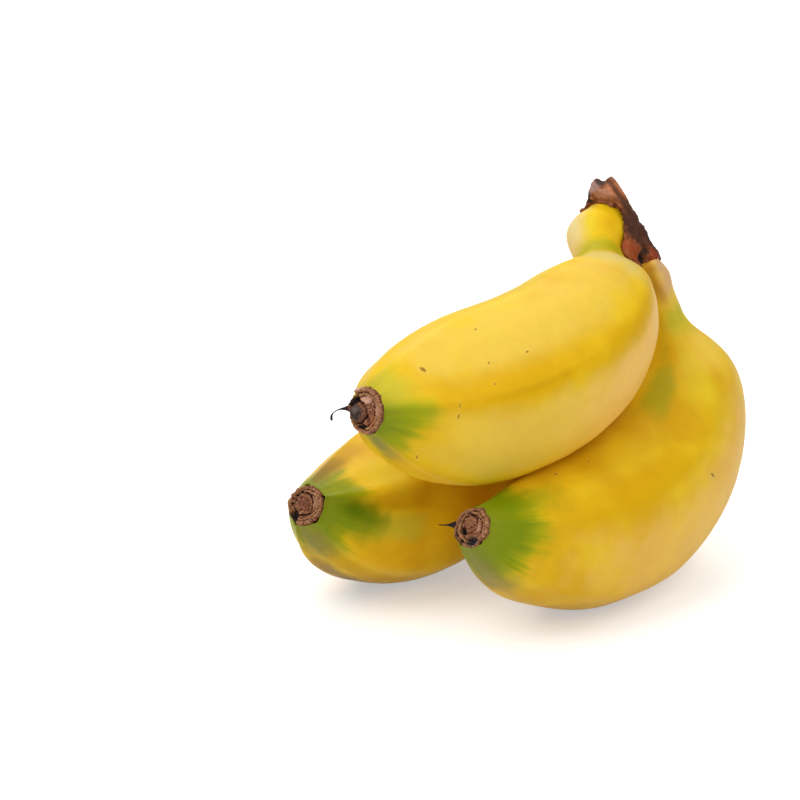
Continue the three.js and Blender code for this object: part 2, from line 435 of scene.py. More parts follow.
def fade(tree, value, start, end, low=0.0, high=1.0):
    """low before start, high after end, and smooth between. start may be the larger one."""
    made = place(tree, "ShaderNodeMapRange",
                 {"Value": value, "From Min": start, "From Max": end,
                  "To Min": low, "To Max": high}, interpolation_type="SMOOTHSTEP")
    return made.outputs["Result"]


def mix(tree, share, first, second, way="MIX"):
    """Two colours mixed by a share."""
    made = place(tree, "ShaderNodeMix", {0: share, 6: first, 7: second},
                 data_type="RGBA", blend_type=way)
    return made.outputs[2]


def cloud(tree, where, size, detail=2.0, roughness=0.5):
    """Noise around 0.5. size is the size of its lumps in the units of where."""
    scaled = place(tree, "ShaderNodeVectorMath", {0: where, 1: (1 / size, 1 / size, 1 / size)},
                   operation="MULTIPLY")
    made = place(tree, "ShaderNodeTexNoise",
                 {"Vector": scaled.outputs[0], "Scale": 1.0, "Detail": detail,
                  "Roughness": roughness})
    return made.outputs["Fac"]


# %% Node groups and addresses
def new_group(name, takes, gives):
    """A shader node group. takes holds each input's starting value, gives the outputs' kinds."""
    kinds = {float: "NodeSocketFloat", tuple: "NodeSocketVector", str: "NodeSocketColor"}
    group = bpy.data.node_groups.new(name, "ShaderNodeTree")
    for label, value in takes.items():
        socket = group.interface.new_socket(label, in_out="INPUT", socket_type=kinds[type(value)])
        socket.default_value = paint(value) if isinstance(value, str) else value
    for label, kind in gives.items():
        group.interface.new_socket(label, in_out="OUTPUT", socket_type=kinds[kind])
    return group, group.nodes.new("NodeGroupInput").outputs, group.nodes.new("NodeGroupOutput").inputs


def use_group(tree, group, inputs):
    """Places a group in a material and gives its outputs."""
    made = tree.nodes.new("ShaderNodeGroup")
    made.node_tree = group
    for label, value in inputs.items():
        if isinstance(value, bpy.types.NodeSocket):
            tree.links.new(value, made.inputs[label])
        else:
            made.inputs[label].default_value = value
    return made.outputs


def object_place_mm(tree):
    """Where a point is in the hand's own frame, in mm."""
    where = place(tree, "ShaderNodeTexCoord").outputs["Object"]
    return place(tree, "ShaderNodeVectorMath", {0: where, "Scale": 1 / MM},
                 operation="SCALE").outputs[0]


def address(tree):
    """A point's address on its piece, from the UV map: the turn and the ring's mark."""
    uv = place(tree, "ShaderNodeUVMap", uv_map="address").outputs[0]
    parts = place(tree, "ShaderNodeSeparateXYZ", {0: uv})
    return parts.outputs[0], parts.outputs[1]


# %% [markdown]
# ## Ripeness
# A banana ripens from its middle. The tip stays green longest, and the green fades out into
# yellow without an edge, further up on one side than on the other. That could be painted on a
# picture wrapped round the fruit. A group with a few inputs is better here, because all three
# fingers use it with their own values.

# %% Ripeness group
GREY_STARTS = 0.955  # the share of the length where the tip turns grey
# Streaks along the peel: their size round it, and how far they push the green's edge.
TIP_STREAKS = ((0.30, 0.075), (0.07, 0.035))

ripeness, given, made = new_group(
    "ripeness",
    {"Turn": 0.0, "Along": 0.0, "Place": (0.0, 0.0, 0.0), "Start": 0.88, "Length": 0.08,
     "Green Side": 0.7, "Side Reach": 0.02, "Far Side": 0.5},
    {"Green": float, "Grey": float},
)
tree = ripeness
wander = calc(tree, "SUBTRACT", cloud(tree, given["Place"], 5.0, 2.0), 0.5)
ragged = calc(tree, "MULTIPLY_ADD", wander, 0.035, given["Along"])
round_ = calc(tree, "MULTIPLY", given["Turn"], 2 * math.pi)
lengthwise = place(tree, "ShaderNodeCombineXYZ", {
    0: calc(tree, "COSINE", round_), 1: calc(tree, "SINE", round_),
    2: calc(tree, "MULTIPLY", given["Along"], 0.6)}).outputs[0]
for size, reach in TIP_STREAKS:
    streaks = calc(tree, "SUBTRACT", cloud(tree, lengthwise, size, 1.0), 0.5)
    ragged = calc(tree, "MULTIPLY_ADD", streaks, reach, ragged)
side = calc(tree, "MULTIPLY", calc(tree, "SUBTRACT", given["Turn"], given["Green Side"]),
            2 * math.pi)
side = calc(tree, "MULTIPLY_ADD", calc(tree, "COSINE", side), -0.5, 0.5)
start = calc(tree, "MULTIPLY_ADD", side, given["Side Reach"], given["Start"])
grown = calc(tree, "DIVIDE", calc(tree, "SUBTRACT", ragged, start), given["Length"])
strength = calc(tree, "SUBTRACT", 1.0, calc(tree, "MULTIPLY", fade(tree, side, 0.0, 0.25),
                                              given["Far Side"]))
tree.links.new(calc(tree, "MULTIPLY", fade(tree, grown, 0.0, 1.0), strength), made["Green"])
tree.links.new(fade(tree, given["Along"], GREY_STARTS, 1.0), made["Grey"])
print(ripeness.name, "takes", [socket.name for socket in given if socket.name])

# %% [markdown]
# ## Zones, clouds and marks
# The flat sides of a finger ripen at different speeds, so each side has its own shade of yellow.
# Some zones paint light and shade instead: pale reflections of the floor, a highlight on the
# upper side, and shade under the fruit and beneath the front finger's tip.
# A zone is a soft patch with an address: a turn, a share of the length and how far it reaches
# both ways. The peel also has soft clouds, pores too small to see one by one, and a few brown
# marks with pale halos where the fruit was rubbed.

# %% Zone group
LONGEST_CORE = 0.3  # the largest share of a zone's reach along the finger at full strength

peel_zone, given, made = new_group(
    "peel_zone",
    {"Turn": 0.0, "Along": 0.0, "Wander": 0.5, "Turn Middle": 0.0, "Turn Reach": 0.1,
     "Along Middle": 0.5, "Along Reach": 0.5, "Softness": 0.5},
    {"Zone": float},
)
tree = peel_zone
wander = calc(tree, "SUBTRACT", given["Wander"], 0.5)
turned = calc(tree, "FRACT", calc(tree, "ADD", calc(
    tree, "SUBTRACT", given["Turn"], given["Turn Middle"]), 1.5))
across = calc(tree, "DIVIDE", calc(tree, "ABSOLUTE", calc(tree, "SUBTRACT", turned, 0.5)),
              given["Turn Reach"])
lengthwise = calc(tree, "DIVIDE", calc(tree, "ABSOLUTE", calc(
    tree, "SUBTRACT", given["Along"], given["Along Middle"])), given["Along Reach"])
full = calc(tree, "SUBTRACT", 1.0, given["Softness"])
both = 1.0
for reach, core in ((across, full), (lengthwise, calc(tree, "MINIMUM", full, LONGEST_CORE))):
    reach = calc(tree, "MULTIPLY_ADD", wander, calc(tree, "MULTIPLY", given["Softness"], 0.9),
                 reach)
    both = calc(tree, "MULTIPLY", both, fade(tree, reach, 1.0, core))
tree.links.new(both, made["Zone"])
print(peel_zone.name, "takes", [socket.name for socket in given if socket.name])

# %% Cloud group
CLOUD_SIZE, MOTTLE_SIZE, PORE_SIZE = 14.0, 2.4, 0.35  # mm
SPECK_SPACING = 7.0  # mm
SPECK_RARITY = 0.72  # the share of the places for a speck that stay empty
SPECK_REACH, SPECK_EDGE = 0.032, 0.006  # shares of the spacing

peel_clouds, given, made = new_group(
    "peel_clouds", {"Place": (0.0, 0.0, 0.0)},
    {"Broad": float, "Small": float, "Pores": float, "Specks": float},
)
tree = peel_clouds
tree.links.new(cloud(tree, given["Place"], CLOUD_SIZE, 2.0), made["Broad"])
tree.links.new(cloud(tree, given["Place"], MOTTLE_SIZE, 3.0), made["Small"])
tree.links.new(cloud(tree, given["Place"], PORE_SIZE, 2.0), made["Pores"])
scattered = place(tree, "ShaderNodeTexVoronoi",
                  {"Vector": given["Place"], "Scale": 1 / SPECK_SPACING,
                   "Randomness": 1.0})
picked = place(tree, "ShaderNodeSeparateXYZ", {0: scattered.outputs["Color"]}).outputs[0]
reach = calc(tree, "MULTIPLY", fade(tree, picked, SPECK_RARITY, 1.0), SPECK_REACH)
speck = fade(tree, calc(tree, "SUBTRACT", scattered.outputs["Distance"], reach), SPECK_EDGE,
             -SPECK_EDGE)
chosen = fade(tree, picked, SPECK_RARITY, SPECK_RARITY + 0.04)
tree.links.new(calc(tree, "MULTIPLY", speck, chosen), made["Specks"])
print(peel_clouds.name, "gives", [socket.name for socket in made if socket.name])

# %% Spot group
SPOT_EDGE, SPOT_CORE = 1.15, 0.55  # distances, where a spot's own edge is at 1
HALO_EDGE = 2.6

placed_spot, given, made = new_group(
    "placed_spot",
    {"Place": (0.0, 0.0, 0.0), "Centre": (0.0, 0.0, 0.0), "Long Way": (1.0, 0.0, 0.0),
     "Short Way": (0.0, 1.0, 0.0), "Through": (0.0, 0.0, 1.0)},
    {"Spot": float, "Halo": float},
)
tree = placed_spot
wobble = place(tree, "ShaderNodeTexNoise", {"Vector": given["Place"], "Scale": 1.6,
                                            "Detail": 2.0}).outputs["Color"]
wobble = place(tree, "ShaderNodeVectorMath", {0: wobble, 1: (0.5, 0.5, 0.5)},
               operation="SUBTRACT").outputs[0]
moved = place(tree, "ShaderNodeVectorMath", {0: wobble, 1: (0.5, 0.5, 0.5), 2: given["Place"]},
              operation="MULTIPLY_ADD").outputs[0]
offset = place(tree, "ShaderNodeVectorMath", {0: moved, 1: given["Centre"]},
               operation="SUBTRACT").outputs[0]
total = 0.0
for way in ("Long Way", "Short Way", "Through"):
    reach = place(tree, "ShaderNodeVectorMath", {0: offset, 1: given[way]},
                  operation="DOT_PRODUCT").outputs["Value"]
    total = calc(tree, "ADD", total, calc(tree, "POWER", reach, 2.0))
size = calc(tree, "SQRT", total)
tree.links.new(fade(tree, size, SPOT_EDGE, SPOT_CORE), made["Spot"])
tree.links.new(fade(tree, size, HALO_EDGE, 1.0), made["Halo"])
print("groups:", [g.name for g in bpy.data.node_groups])

# %% [markdown]
# ## Peel
# Under its wax the peel is a deep, warm yellow with hardly any blue in it. The wax gives a wide,
# weak sheen and no mirror. One material for all three fingers would make them twins, so one
# function builds a material a finger, each with its own zones and its own green.

# %% Peel colours
PEEL_SHADES = {
    "yellow": "eec41c", "orange": "e0ae10", "green_yellow": "a8a40c", "green": "7c8c08",
    "grey_green": "8c8c30", "speck": "9a6a10", "mark": "8a5412", "halo": "ecc95a",
}
# A paint box for the zones, roughly from pale to dark. Two of them, a pale pinkish white and a
# pinkish cream, are painted reflection of the floor, and the olive brown is painted shade.
PEEL_TINTS = {
    "pale_reflection": "ecd898", "pink_reflection": "f8c666", "pale": "ecc64c", "lemon": "ead030", "golden": "e6b010",
    "deep": "e0ac00", "tan": "dcb07c", "straw": "d4c070", "lime": "c8bc34", "ochre": "c89808",
    "olive": "b4a818", "bronze": "b07c18", "moss": "98a010", "fern": "788c04",
    "grey_olive": "86803c", "shadow_umber": "7c5c10", "bottle": "506c00",
}
print("peel colours:", len(PEEL_SHADES) + len(PEEL_TINTS))


# %% Where a mark is
def mark_ways(finger, mark):
    """Where a mark is, and its three ways scaled so that its edge is at distance 1."""
    share, turn, length, width, tilt = mark
    distance = np.array([share * finger["length"]])
    angle = np.radians(np.array([float(turn)]))
    step = 0.05
    centre = finger_places(finger, distance, angle)[0]
    along = finger_places(finger, distance + step, angle)[0] - centre
    round_ = finger_places(finger, distance, angle + step / 10)[0] - centre
    along /= np.linalg.norm(along)
    round_ = round_ - along * (round_ @ along)
    round_ /= np.linalg.norm(round_)
    c, s = math.cos(math.radians(tilt)), math.sin(math.radians(tilt))
    long_way, short_way = along * c + round_ * s, round_ * c - along * s
    through = np.cross(along, round_)
    return (tuple(centre), tuple(long_way * 2 / length), tuple(short_way * 2 / width),
            tuple(through * 2 / max(length, width)))


# %% Peel material
GREY_STRENGTH, SPECK_STRENGTH = 0.25, 0.35
HALO_STRENGTH, MARK_STRENGTH = 0.3, 0.8
PEEL_IOR, PEEL_GLOSS = 1.42, 0.13
PEEL_ROUGHNESS = (0.40, 0.50)
PORE_DEPTH, PORE_STRENGTH = 0.05 * MM, 0.25


def peel_finish(name, finger, green, zones, marks):
    """A peel material. Each zone: tint, strength, degrees round and their reach, share of the
    length and its reach, softness."""
    material, tree = new_material(name)
    turn, along = address(tree)
    where = object_place_mm(tree)
    clouds = use_group(tree, peel_clouds, {"Place": where})
    shade = {key: paint(code) for key, code in PEEL_SHADES.items()}

    colour = mix(tree, fade(tree, clouds["Broad"], 0.35, 0.65), shade["yellow"], shade["orange"])
    tip = use_group(tree, ripeness, {"Turn": turn, "Along": along, "Place": where, **green})
    colour = mix(tree, fade(tree, tip["Green"], 0.0, 0.55), colour, shade["green_yellow"])
    colour = mix(tree, fade(tree, tip["Green"], 0.3, 1.0), colour, shade["green"])
    colour = mix(tree, calc(tree, "MULTIPLY", tip["Grey"], GREY_STRENGTH), colour,
                 shade["grey_green"])
    wander = cloud(tree, where, 6.0, 2.0)
    for tint, strength, turn_middle, turn_reach, along_middle, along_reach, softness in zones:
        zone = use_group(tree, peel_zone, {
            "Turn": turn, "Along": along, "Wander": wander, "Turn Middle": turn_middle / 360,
            "Turn Reach": turn_reach / 360, "Along Middle": along_middle,
            "Along Reach": along_reach, "Softness": softness})["Zone"]
        colour = mix(tree, calc(tree, "MULTIPLY", zone, strength), colour,
                     paint(PEEL_TINTS[tint]))
    tone = fade(tree, clouds["Small"], 0.3, 0.7, 0.98, 1.02)
    toned = place(tree, "ShaderNodeCombineColor", {0: tone, 1: tone, 2: tone}).outputs[0]
    colour = mix(tree, 1.0, colour, toned, "MULTIPLY")
    colour = mix(tree, calc(tree, "MULTIPLY", clouds["Specks"], SPECK_STRENGTH), colour,
                 shade["speck"])
    for mark in marks:
        centre, long_way, short_way, through = mark_ways(finger, mark)
        spot = use_group(tree, placed_spot, {"Place": where, "Centre": centre,
                                             "Long Way": long_way, "Short Way": short_way,
                                             "Through": through})
        colour = mix(tree, calc(tree, "MULTIPLY", spot["Halo"], HALO_STRENGTH), colour,
                     shade["halo"])
        colour = mix(tree, calc(tree, "MULTIPLY", spot["Spot"], MARK_STRENGTH), colour,
                     shade["mark"])

    roughness = fade(tree, clouds["Small"], 0.2, 0.8, *PEEL_ROUGHNESS)
    bump = place(tree, "ShaderNodeBump", {"Strength": PORE_STRENGTH, "Distance": PORE_DEPTH,
                                          "Height": clouds["Pores"]})
    shader = place(tree, "ShaderNodeBsdfPrincipled",
                   {"Base Color": colour, "Roughness": roughness, "IOR": PEEL_IOR,
                    "Specular IOR Level": PEEL_GLOSS, "Normal": bump.outputs[0]})
    place(tree, "ShaderNodeOutputMaterial", {"Surface": shader.outputs[0]})
    return material


# %% Where each finger is green, in shares of the length and of the turn
FRONT_GREEN = {"Start": 0.895, "Length": 0.115, "Green Side": 0.70, "Side Reach": 0.045,
               "Far Side": 0.6}
RIGHT_GREEN = {"Start": 0.858, "Length": 0.105, "Green Side": 0.86, "Side Reach": 0.035,
               "Far Side": 0}
LOWER_GREEN = {"Start": 0.895, "Length": 0.10, "Green Side": 0.92, "Side Reach": 0.03,
               "Far Side": 0.1}

# %% The zones of each finger
# Each zone: tint, strength, degrees round and reach, share of the length and reach, softness.
FRONT_ZONES = [
    ("golden", 0.9, 200, 24, 0.66, 0.3, 0.8),  # under the lowest ridge
    ("pale", 0.9, 332, 40, 0.6, 0.42, 0.7),  # the pale upper side: a painted highlight
    ("deep", 0.9, 292, 22, 0.66, 0.27, 0.8),  # deep yellow above the ridge
    ("deep", 0.8, 282, 20, 0.38, 0.2, 0.8),  # the same nearer the crown
    ("pale", 0.85, 253, 36, 0.68, 0.3, 0.5),  # the pale lower side: painted reflection of the floor
    ("pink_reflection", 0.9, 245, 38, 0.36, 0.27, 0.4),  # the same nearer the crown, pinker: painted reflection of the floor
    ("ochre", 0.4, 290, 4, 0.66, 0.24, 0.8),  # a thin line on the ridge
    ("lemon", 0.5, 22, 34, 0.45, 0.42, 0.9),  # the top
    ("pale", 0.8, 350, 42, 0.87, 0.11, 0.8),  # pale before the tip
    ("straw", 0.8, 335, 60, 0.235, 0.075, 0.9),  # the pale green shoulder
    ("olive", 0.9, 340, 110, 0.14, 0.055, 0.8),  # the green neck
    ("lemon", 0.8, 5, 30, 0.07, 0.06, 0.9),  # the bright side of the stalk
    ("deep", 0.9, 325, 34, 0.05, 0.06, 0.9),  # the deep side of the stalk
    ("pale_reflection", 0.9, 48, 50, 0.06, 0.08, 0.9),  # the pale side of the stalk: painted reflection of the floor
    ("lime", 0.7, 335, 60, 0.985, 0.055, 0.9),  # yellow-green above the tip
    ("moss", 0.8, 276, 30, 0.955, 0.07, 1),  # the green side of the tip
    ("moss", 0.7, 228, 9, 0.965, 0.04, 0.9),  # a lower green streak
    ("grey_olive", 0.85, 192, 30, 0.975, 0.07, 1),  # the underside of the tip
]
RIGHT_ZONES = [
    ("pink_reflection", 0.6, 240, 42, 0.52, 0.4, 0.7),  # the pale side: painted reflection of the floor
    ("deep", 0.8, 292, 18, 0.62, 0.25, 0.7),  # the deep side
    ("ochre", 0.8, 165, 42, 0.62, 0.36, 0.9),  # the underside
    ("lemon", 0.6, 296, 20, 0.21, 0.14, 0.8),  # beside the streak
    ("olive", 0.9, 325, 15, 0.29, 0.2, 0.8),  # an olive streak down the ridge
    ("pale", 0.8, 255, 55, 0.16, 0.06, 0.9),  # the pale shoulder
    ("lime", 0.9, 270, 80, 0.1, 0.045, 0.8),  # the green neck
    ("pale", 0.7, 270, 70, 0.045, 0.045, 0.8),  # the yellow neck
    ("tan", 0.9, 250, 80, 0.01, 0.05, 0.8),  # tan under the crown
    ("bronze", 0.9, 318, 34, 0.01, 0.06, 0.9),  # the brown side of the neck
    ("grey_olive", 0.8, 170, 44, 0.945, 0.085, 0.8),  # the underside of the tip
    ("olive", 0.8, 322, 40, 0.875, 0.08, 1),  # olive towards the next finger
    ("fern", 0.8, 330, 36, 0.94, 0.08, 1),  # greener towards the tip
]
LOWER_ZONES = [
    ("shadow_umber", 0.9, 232, 30, 0.82, 0.22, 0.9),  # the dull underside: painted shade
    ("ochre", 0.7, 262, 18, 0.86, 0.16, 0.8),  # above it
    ("golden", 0.7, 292, 20, 0.87, 0.09, 0.8),  # the bright side
    ("lime", 0.7, 326, 18, 0.86, 0.09, 0.8),  # turning green
    ("ochre", 0.7, 349, 12, 0.86, 0.12, 0.7),  # a brown line on the ridge
    ("lemon", 0.8, 18, 32, 0.87, 0.09, 0.8),  # bright above the ridge
    ("ochre", 0.8, 66, 20, 0.9, 0.12, 0.8),  # brownish towards the back: painted shadow of the front finger's tip
    ("grey_olive", 0.8, 250, 40, 0.965, 0.05, 0.9),  # grey green below the scar, darkened with painted shade
    ("fern", 0.8, 322, 30, 0.94, 0.075, 1),  # the green side of the tip
    ("bottle", 0.8, 340, 20, 0.945, 0.075, 1),  # dark green on the ridge
    ("moss", 0.6, 14, 24, 0.97, 0.05, 0.9),  # yellow-green beyond it
    ("shadow_umber", 0.7, 66, 28, 0.955, 0.08, 0.9),  # olive brown at the back: painted shadow of the front finger's tip
]
print("zones:", len(FRONT_ZONES), len(RIGHT_ZONES), len(LOWER_ZONES))

# %% The marks, and the three peels
# Each mark: share of the length, degrees from the first ridge, length and width in mm, tilt in
# degrees. The lower finger has none.
FRONT_MARKS = [(0.918, 331, 1.8, 1.0, 70), (0.877, 277, 1.4, 0.3, 90), (0.879, 287, 1.2, 0.3, 90),
               (0.625, 313, 0.7, 0.5, 0), (0.770, 315, 0.6, 0.5, 0), (0.728, 343, 0.6, 0.5, 0),
               (0.780, 299, 0.5, 0.4, 0), (0.92, 224, 1.0, 0.4, 60)]
RIGHT_MARKS = [(0.44, 265, 1.9, 0.6, 70), (0.70, 330, 0.8, 0.5, 30), (0.79, 337, 0.9, 0.5, 60)]
peels = {
    "front": peel_finish("front_peel", FINGERS["front"], FRONT_GREEN, FRONT_ZONES, FRONT_MARKS),
    "right": peel_finish("right_peel", FINGERS["right"], RIGHT_GREEN, RIGHT_ZONES, RIGHT_MARKS),
    "lower": peel_finish("lower_peel", FINGERS["lower"], LOWER_GREEN, LOWER_ZONES, []),
}
print("peels:", [m.name for m in peels.values()])

# %% [markdown]
# ## Fingers
# Each finger is peel and flesh grown as one, so it is one closed tube of rings with nothing
# inside. It could be sculpted from a stretched ball, but then its ends wouldn't meet the crown
# and the scar. Here the rings go past the ends: at the tip the peel curls over into a small lip
# round the blossom scar, and at the crown the stalk runs on inside the dry skin. Where a finger
# lies on the surface its own weight presses it flat.

# %% Small dents and swellings
BROAD_SIZE, SMALL_SIZE = 13.0, 4.0  # mm
BROAD_HEIGHT, SMALL_HEIGHT = 0.22, 0.05  # mm
PUCKERS, PUCKER_HEIGHT, PUCKER_REACH = 23, 0.04, 2.5  # how many round the tip, and mm


def finger_relief(finger, distance, angle):
    """Small dents and swellings of the skin, in mm."""
    plain = finger_places(finger, distance, angle)
    broad = noise_at(plain, BROAD_SIZE)
    small = noise_at(plain, SMALL_SIZE, 2, shift=7.0)
    tip = np.exp(-np.maximum(finger["length"] - distance, 0) / PUCKER_REACH)
    puckers = np.cos(angle * PUCKERS + 3 * broad) * tip
    return BROAD_HEIGHT * broad + SMALL_HEIGHT * small + PUCKER_HEIGHT * puckers


# %% One finger's mesh
FINGER_SIDES = 240
FINGER_RINGS = 330
CROWDING = 0.035  # how much closer the rings stand at the ends and in the middle
# Rings past the ends: mm along the finger from that end, and the share of the radius.
TIP_LIP = [(0.35, 0.985), (0.5, 0.96), (0.45, 0.93), (0.1, 0.91), (-0.5, 0.88), (-1.6, 0.86)]
STALK_INSIDE = [(-1.4, 0.80), (-1.0, 0.92), (-0.5, 0.98)]
BARE_STALK = {"front": 0.0, "right": 2.2, "lower": 0.0}  # mm more of the stalk that shows


def make_finger(name, finger):
    """The peel of one finger, closed at both ends."""
    length = finger["length"]
    inside = [(d - BARE_STALK[name], s) for d, s in STALK_INSIDE]
    if BARE_STALK[name]:
        inside += [(-d, 1.0) for d in np.arange(BARE_STALK[name] - 0.2, 0.1, -0.3)]
    even = np.linspace(0, 1, FINGER_RINGS)
    shares = even - CROWDING * np.sin(2 * math.pi * even * 2) / (2 * math.pi) * 2
    distances = np.concatenate([[d for d, _ in inside], shares * length,
                                [length + d for d, _ in TIP_LIP]])
    shrinks = np.concatenate([[s for _, s in inside], np.ones(FINGER_RINGS),
                              [s for _, s in TIP_LIP]])
    angles = np.arange(FINGER_SIDES) * 2 * math.pi / FINGER_SIDES
    distance, angle = np.meshgrid(distances, angles, indexing="ij")
    lift = finger_relief(finger, distance, angle)
    rings = finger_places(finger, distance, angle, lift, shrinks[:, None])
    rings[..., 2] = np.maximum(rings[..., 2], 0)
    start, _, _, _ = axes_at(finger, np.array([inside[0][0]]))
    end, _, _, _ = axes_at(finger, np.array([length + TIP_LIP[-1][0]]))
    return ringed_piece(f"{name}_peel", rings, peels[name], start[0], end[0],
                        np.clip(distances / length, 0, 1))


# %% The three fingers
for name, finger in FINGERS.items():
    piece = make_finger(name, finger)
    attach(piece, "root")
    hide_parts(f"{name}_finger")

# %% [markdown]
# ## Dry finishes
# Crown, blossom ends and threads are plant fibre that has dried out. They are brown with lighter
# worn crests, and they have little gloss. Their hollows are painted nearly black as shade. That
# painted shade could come from noise alone, but then it would miss the grooves. Here each mesh
# stores how hollow it is at a point. On the crown and the blossom ends that is worked out from the
# surface itself, so the painted shade sits in real grooves. On a thread it grows towards the end,
# and there the dark is the thread's own colour.

# %% Dry fibre group
FIBRE_SIZE, FIBRE_PATCH_SIZE = 0.55, 3.0  # in grain sizes
WORN_STRENGTH = 0.8

dry_fibre, given, made = new_group(
    "dry_fibre",
    {"Place": (0.0, 0.0, 0.0), "Hollow": 0.0, "Grain Size": 1.0, "Brown": "6b4028",
     "Worn": "a87c5c", "Dark": "24120c", "Red": "702f18"},
    {"Color": str, "Roughness": float, "Height": float},
)
tree = dry_fibre
grained = place(tree, "ShaderNodeVectorMath", {0: given["Place"], 1: given["Grain Size"]},
                operation="DIVIDE").outputs[0]
broad = cloud(tree, grained, FIBRE_PATCH_SIZE, 3.0)
fine = cloud(tree, grained, FIBRE_SIZE, 4.0, 0.65)
worn = fade(tree, calc(tree, "MULTIPLY_ADD", given["Hollow"], -0.5, fine), 0.40, 0.62)
colour = mix(tree, fade(tree, broad, 0.35, 0.65), given["Brown"], given["Red"])
colour = mix(tree, calc(tree, "MULTIPLY", worn, WORN_STRENGTH), colour, given["Worn"])
# Painted shade: the dark goes where the mesh counts as hollow (on a thread, its dark end).
colour = mix(tree, fade(tree, given["Hollow"], 0.22, 0.75), colour, given["Dark"])
tree.links.new(colour, made["Color"])
tree.links.new(fade(tree, fine, 0.3, 0.7, 0.62, 0.9), made["Roughness"])
tree.links.new(calc(tree, "ADD", fine, calc(tree, "MULTIPLY", broad, 0.5)), made["Height"])
print(dry_fibre.name, "takes", [socket.name for socket in given if socket.name])

# %% Dry material
DRY_GLOSS, DRY_BUMP_STRENGTH = 0.3, 0.6


def dry_finish(name, shades, grain, bump_height, patches=(), fibre_ways=None):
    """A dry plant material from four shades: brown, worn, dark and red. The dark goes where the mesh
    counts as hollow: painted shade in the crown's grooves, and the dark end on a thread. Each patch:
    colour, strength, centre and three scaled ways. The grain runs along the first of the fibre
    ways, if they are given."""
    material, tree = new_material(name)
    where = object_place_mm(tree)
    hollow = place(tree, "ShaderNodeAttribute", attribute_name="hollow").outputs["Fac"]
    brown, worn, dark, red = map(paint, shades)
    grown = where
    if fibre_ways:
        grown = place(tree, "ShaderNodeCombineXYZ", {
            axis: place(tree, "ShaderNodeVectorMath", {0: where, 1: way},
                        operation="DOT_PRODUCT").outputs["Value"]
            for axis, way in enumerate(fibre_ways)}).outputs[0]
    fibre = use_group(tree, dry_fibre, {"Place": grown, "Hollow": hollow, "Grain Size": grain,
                                        "Brown": brown, "Worn": worn, "Dark": dark, "Red": red})
    colour = fibre["Color"]
    for code, strength, centre, ways in patches:
        spot = use_group(tree, placed_spot, {"Place": where, "Centre": centre,
                                              "Long Way": ways[0], "Short Way": ways[1],
                                              "Through": ways[2]})
        colour = mix(tree, calc(tree, "MULTIPLY", spot["Spot"], strength), colour, paint(code))
    bump = place(tree, "ShaderNodeBump", {"Strength": DRY_BUMP_STRENGTH,
                                          "Distance": bump_height * MM,
                                          "Height": fibre["Height"]})
    shader = place(tree, "ShaderNodeBsdfPrincipled",
                   {"Base Color": colour, "Roughness": fibre["Roughness"],
                    "Specular IOR Level": DRY_GLOSS, "Normal": bump.outputs[0]})
    place(tree, "ShaderNodeOutputMaterial", {"Surface": shader.outputs[0]})
    return material


# %% [markdown]
# ## Blossom ends
# Where the flower dried off, the tip has a corky scar: a raised, crumbling ring, two thin wavy
# grooves inside it, and a nub near the middle. In places the cork has shrunk away and left
# cavities, darkened with painted shade. A turned disc would look machined, so the scar is a round
# grid whose heights come from these features, most of them disturbed by noise, and whose outline
# is ragged.

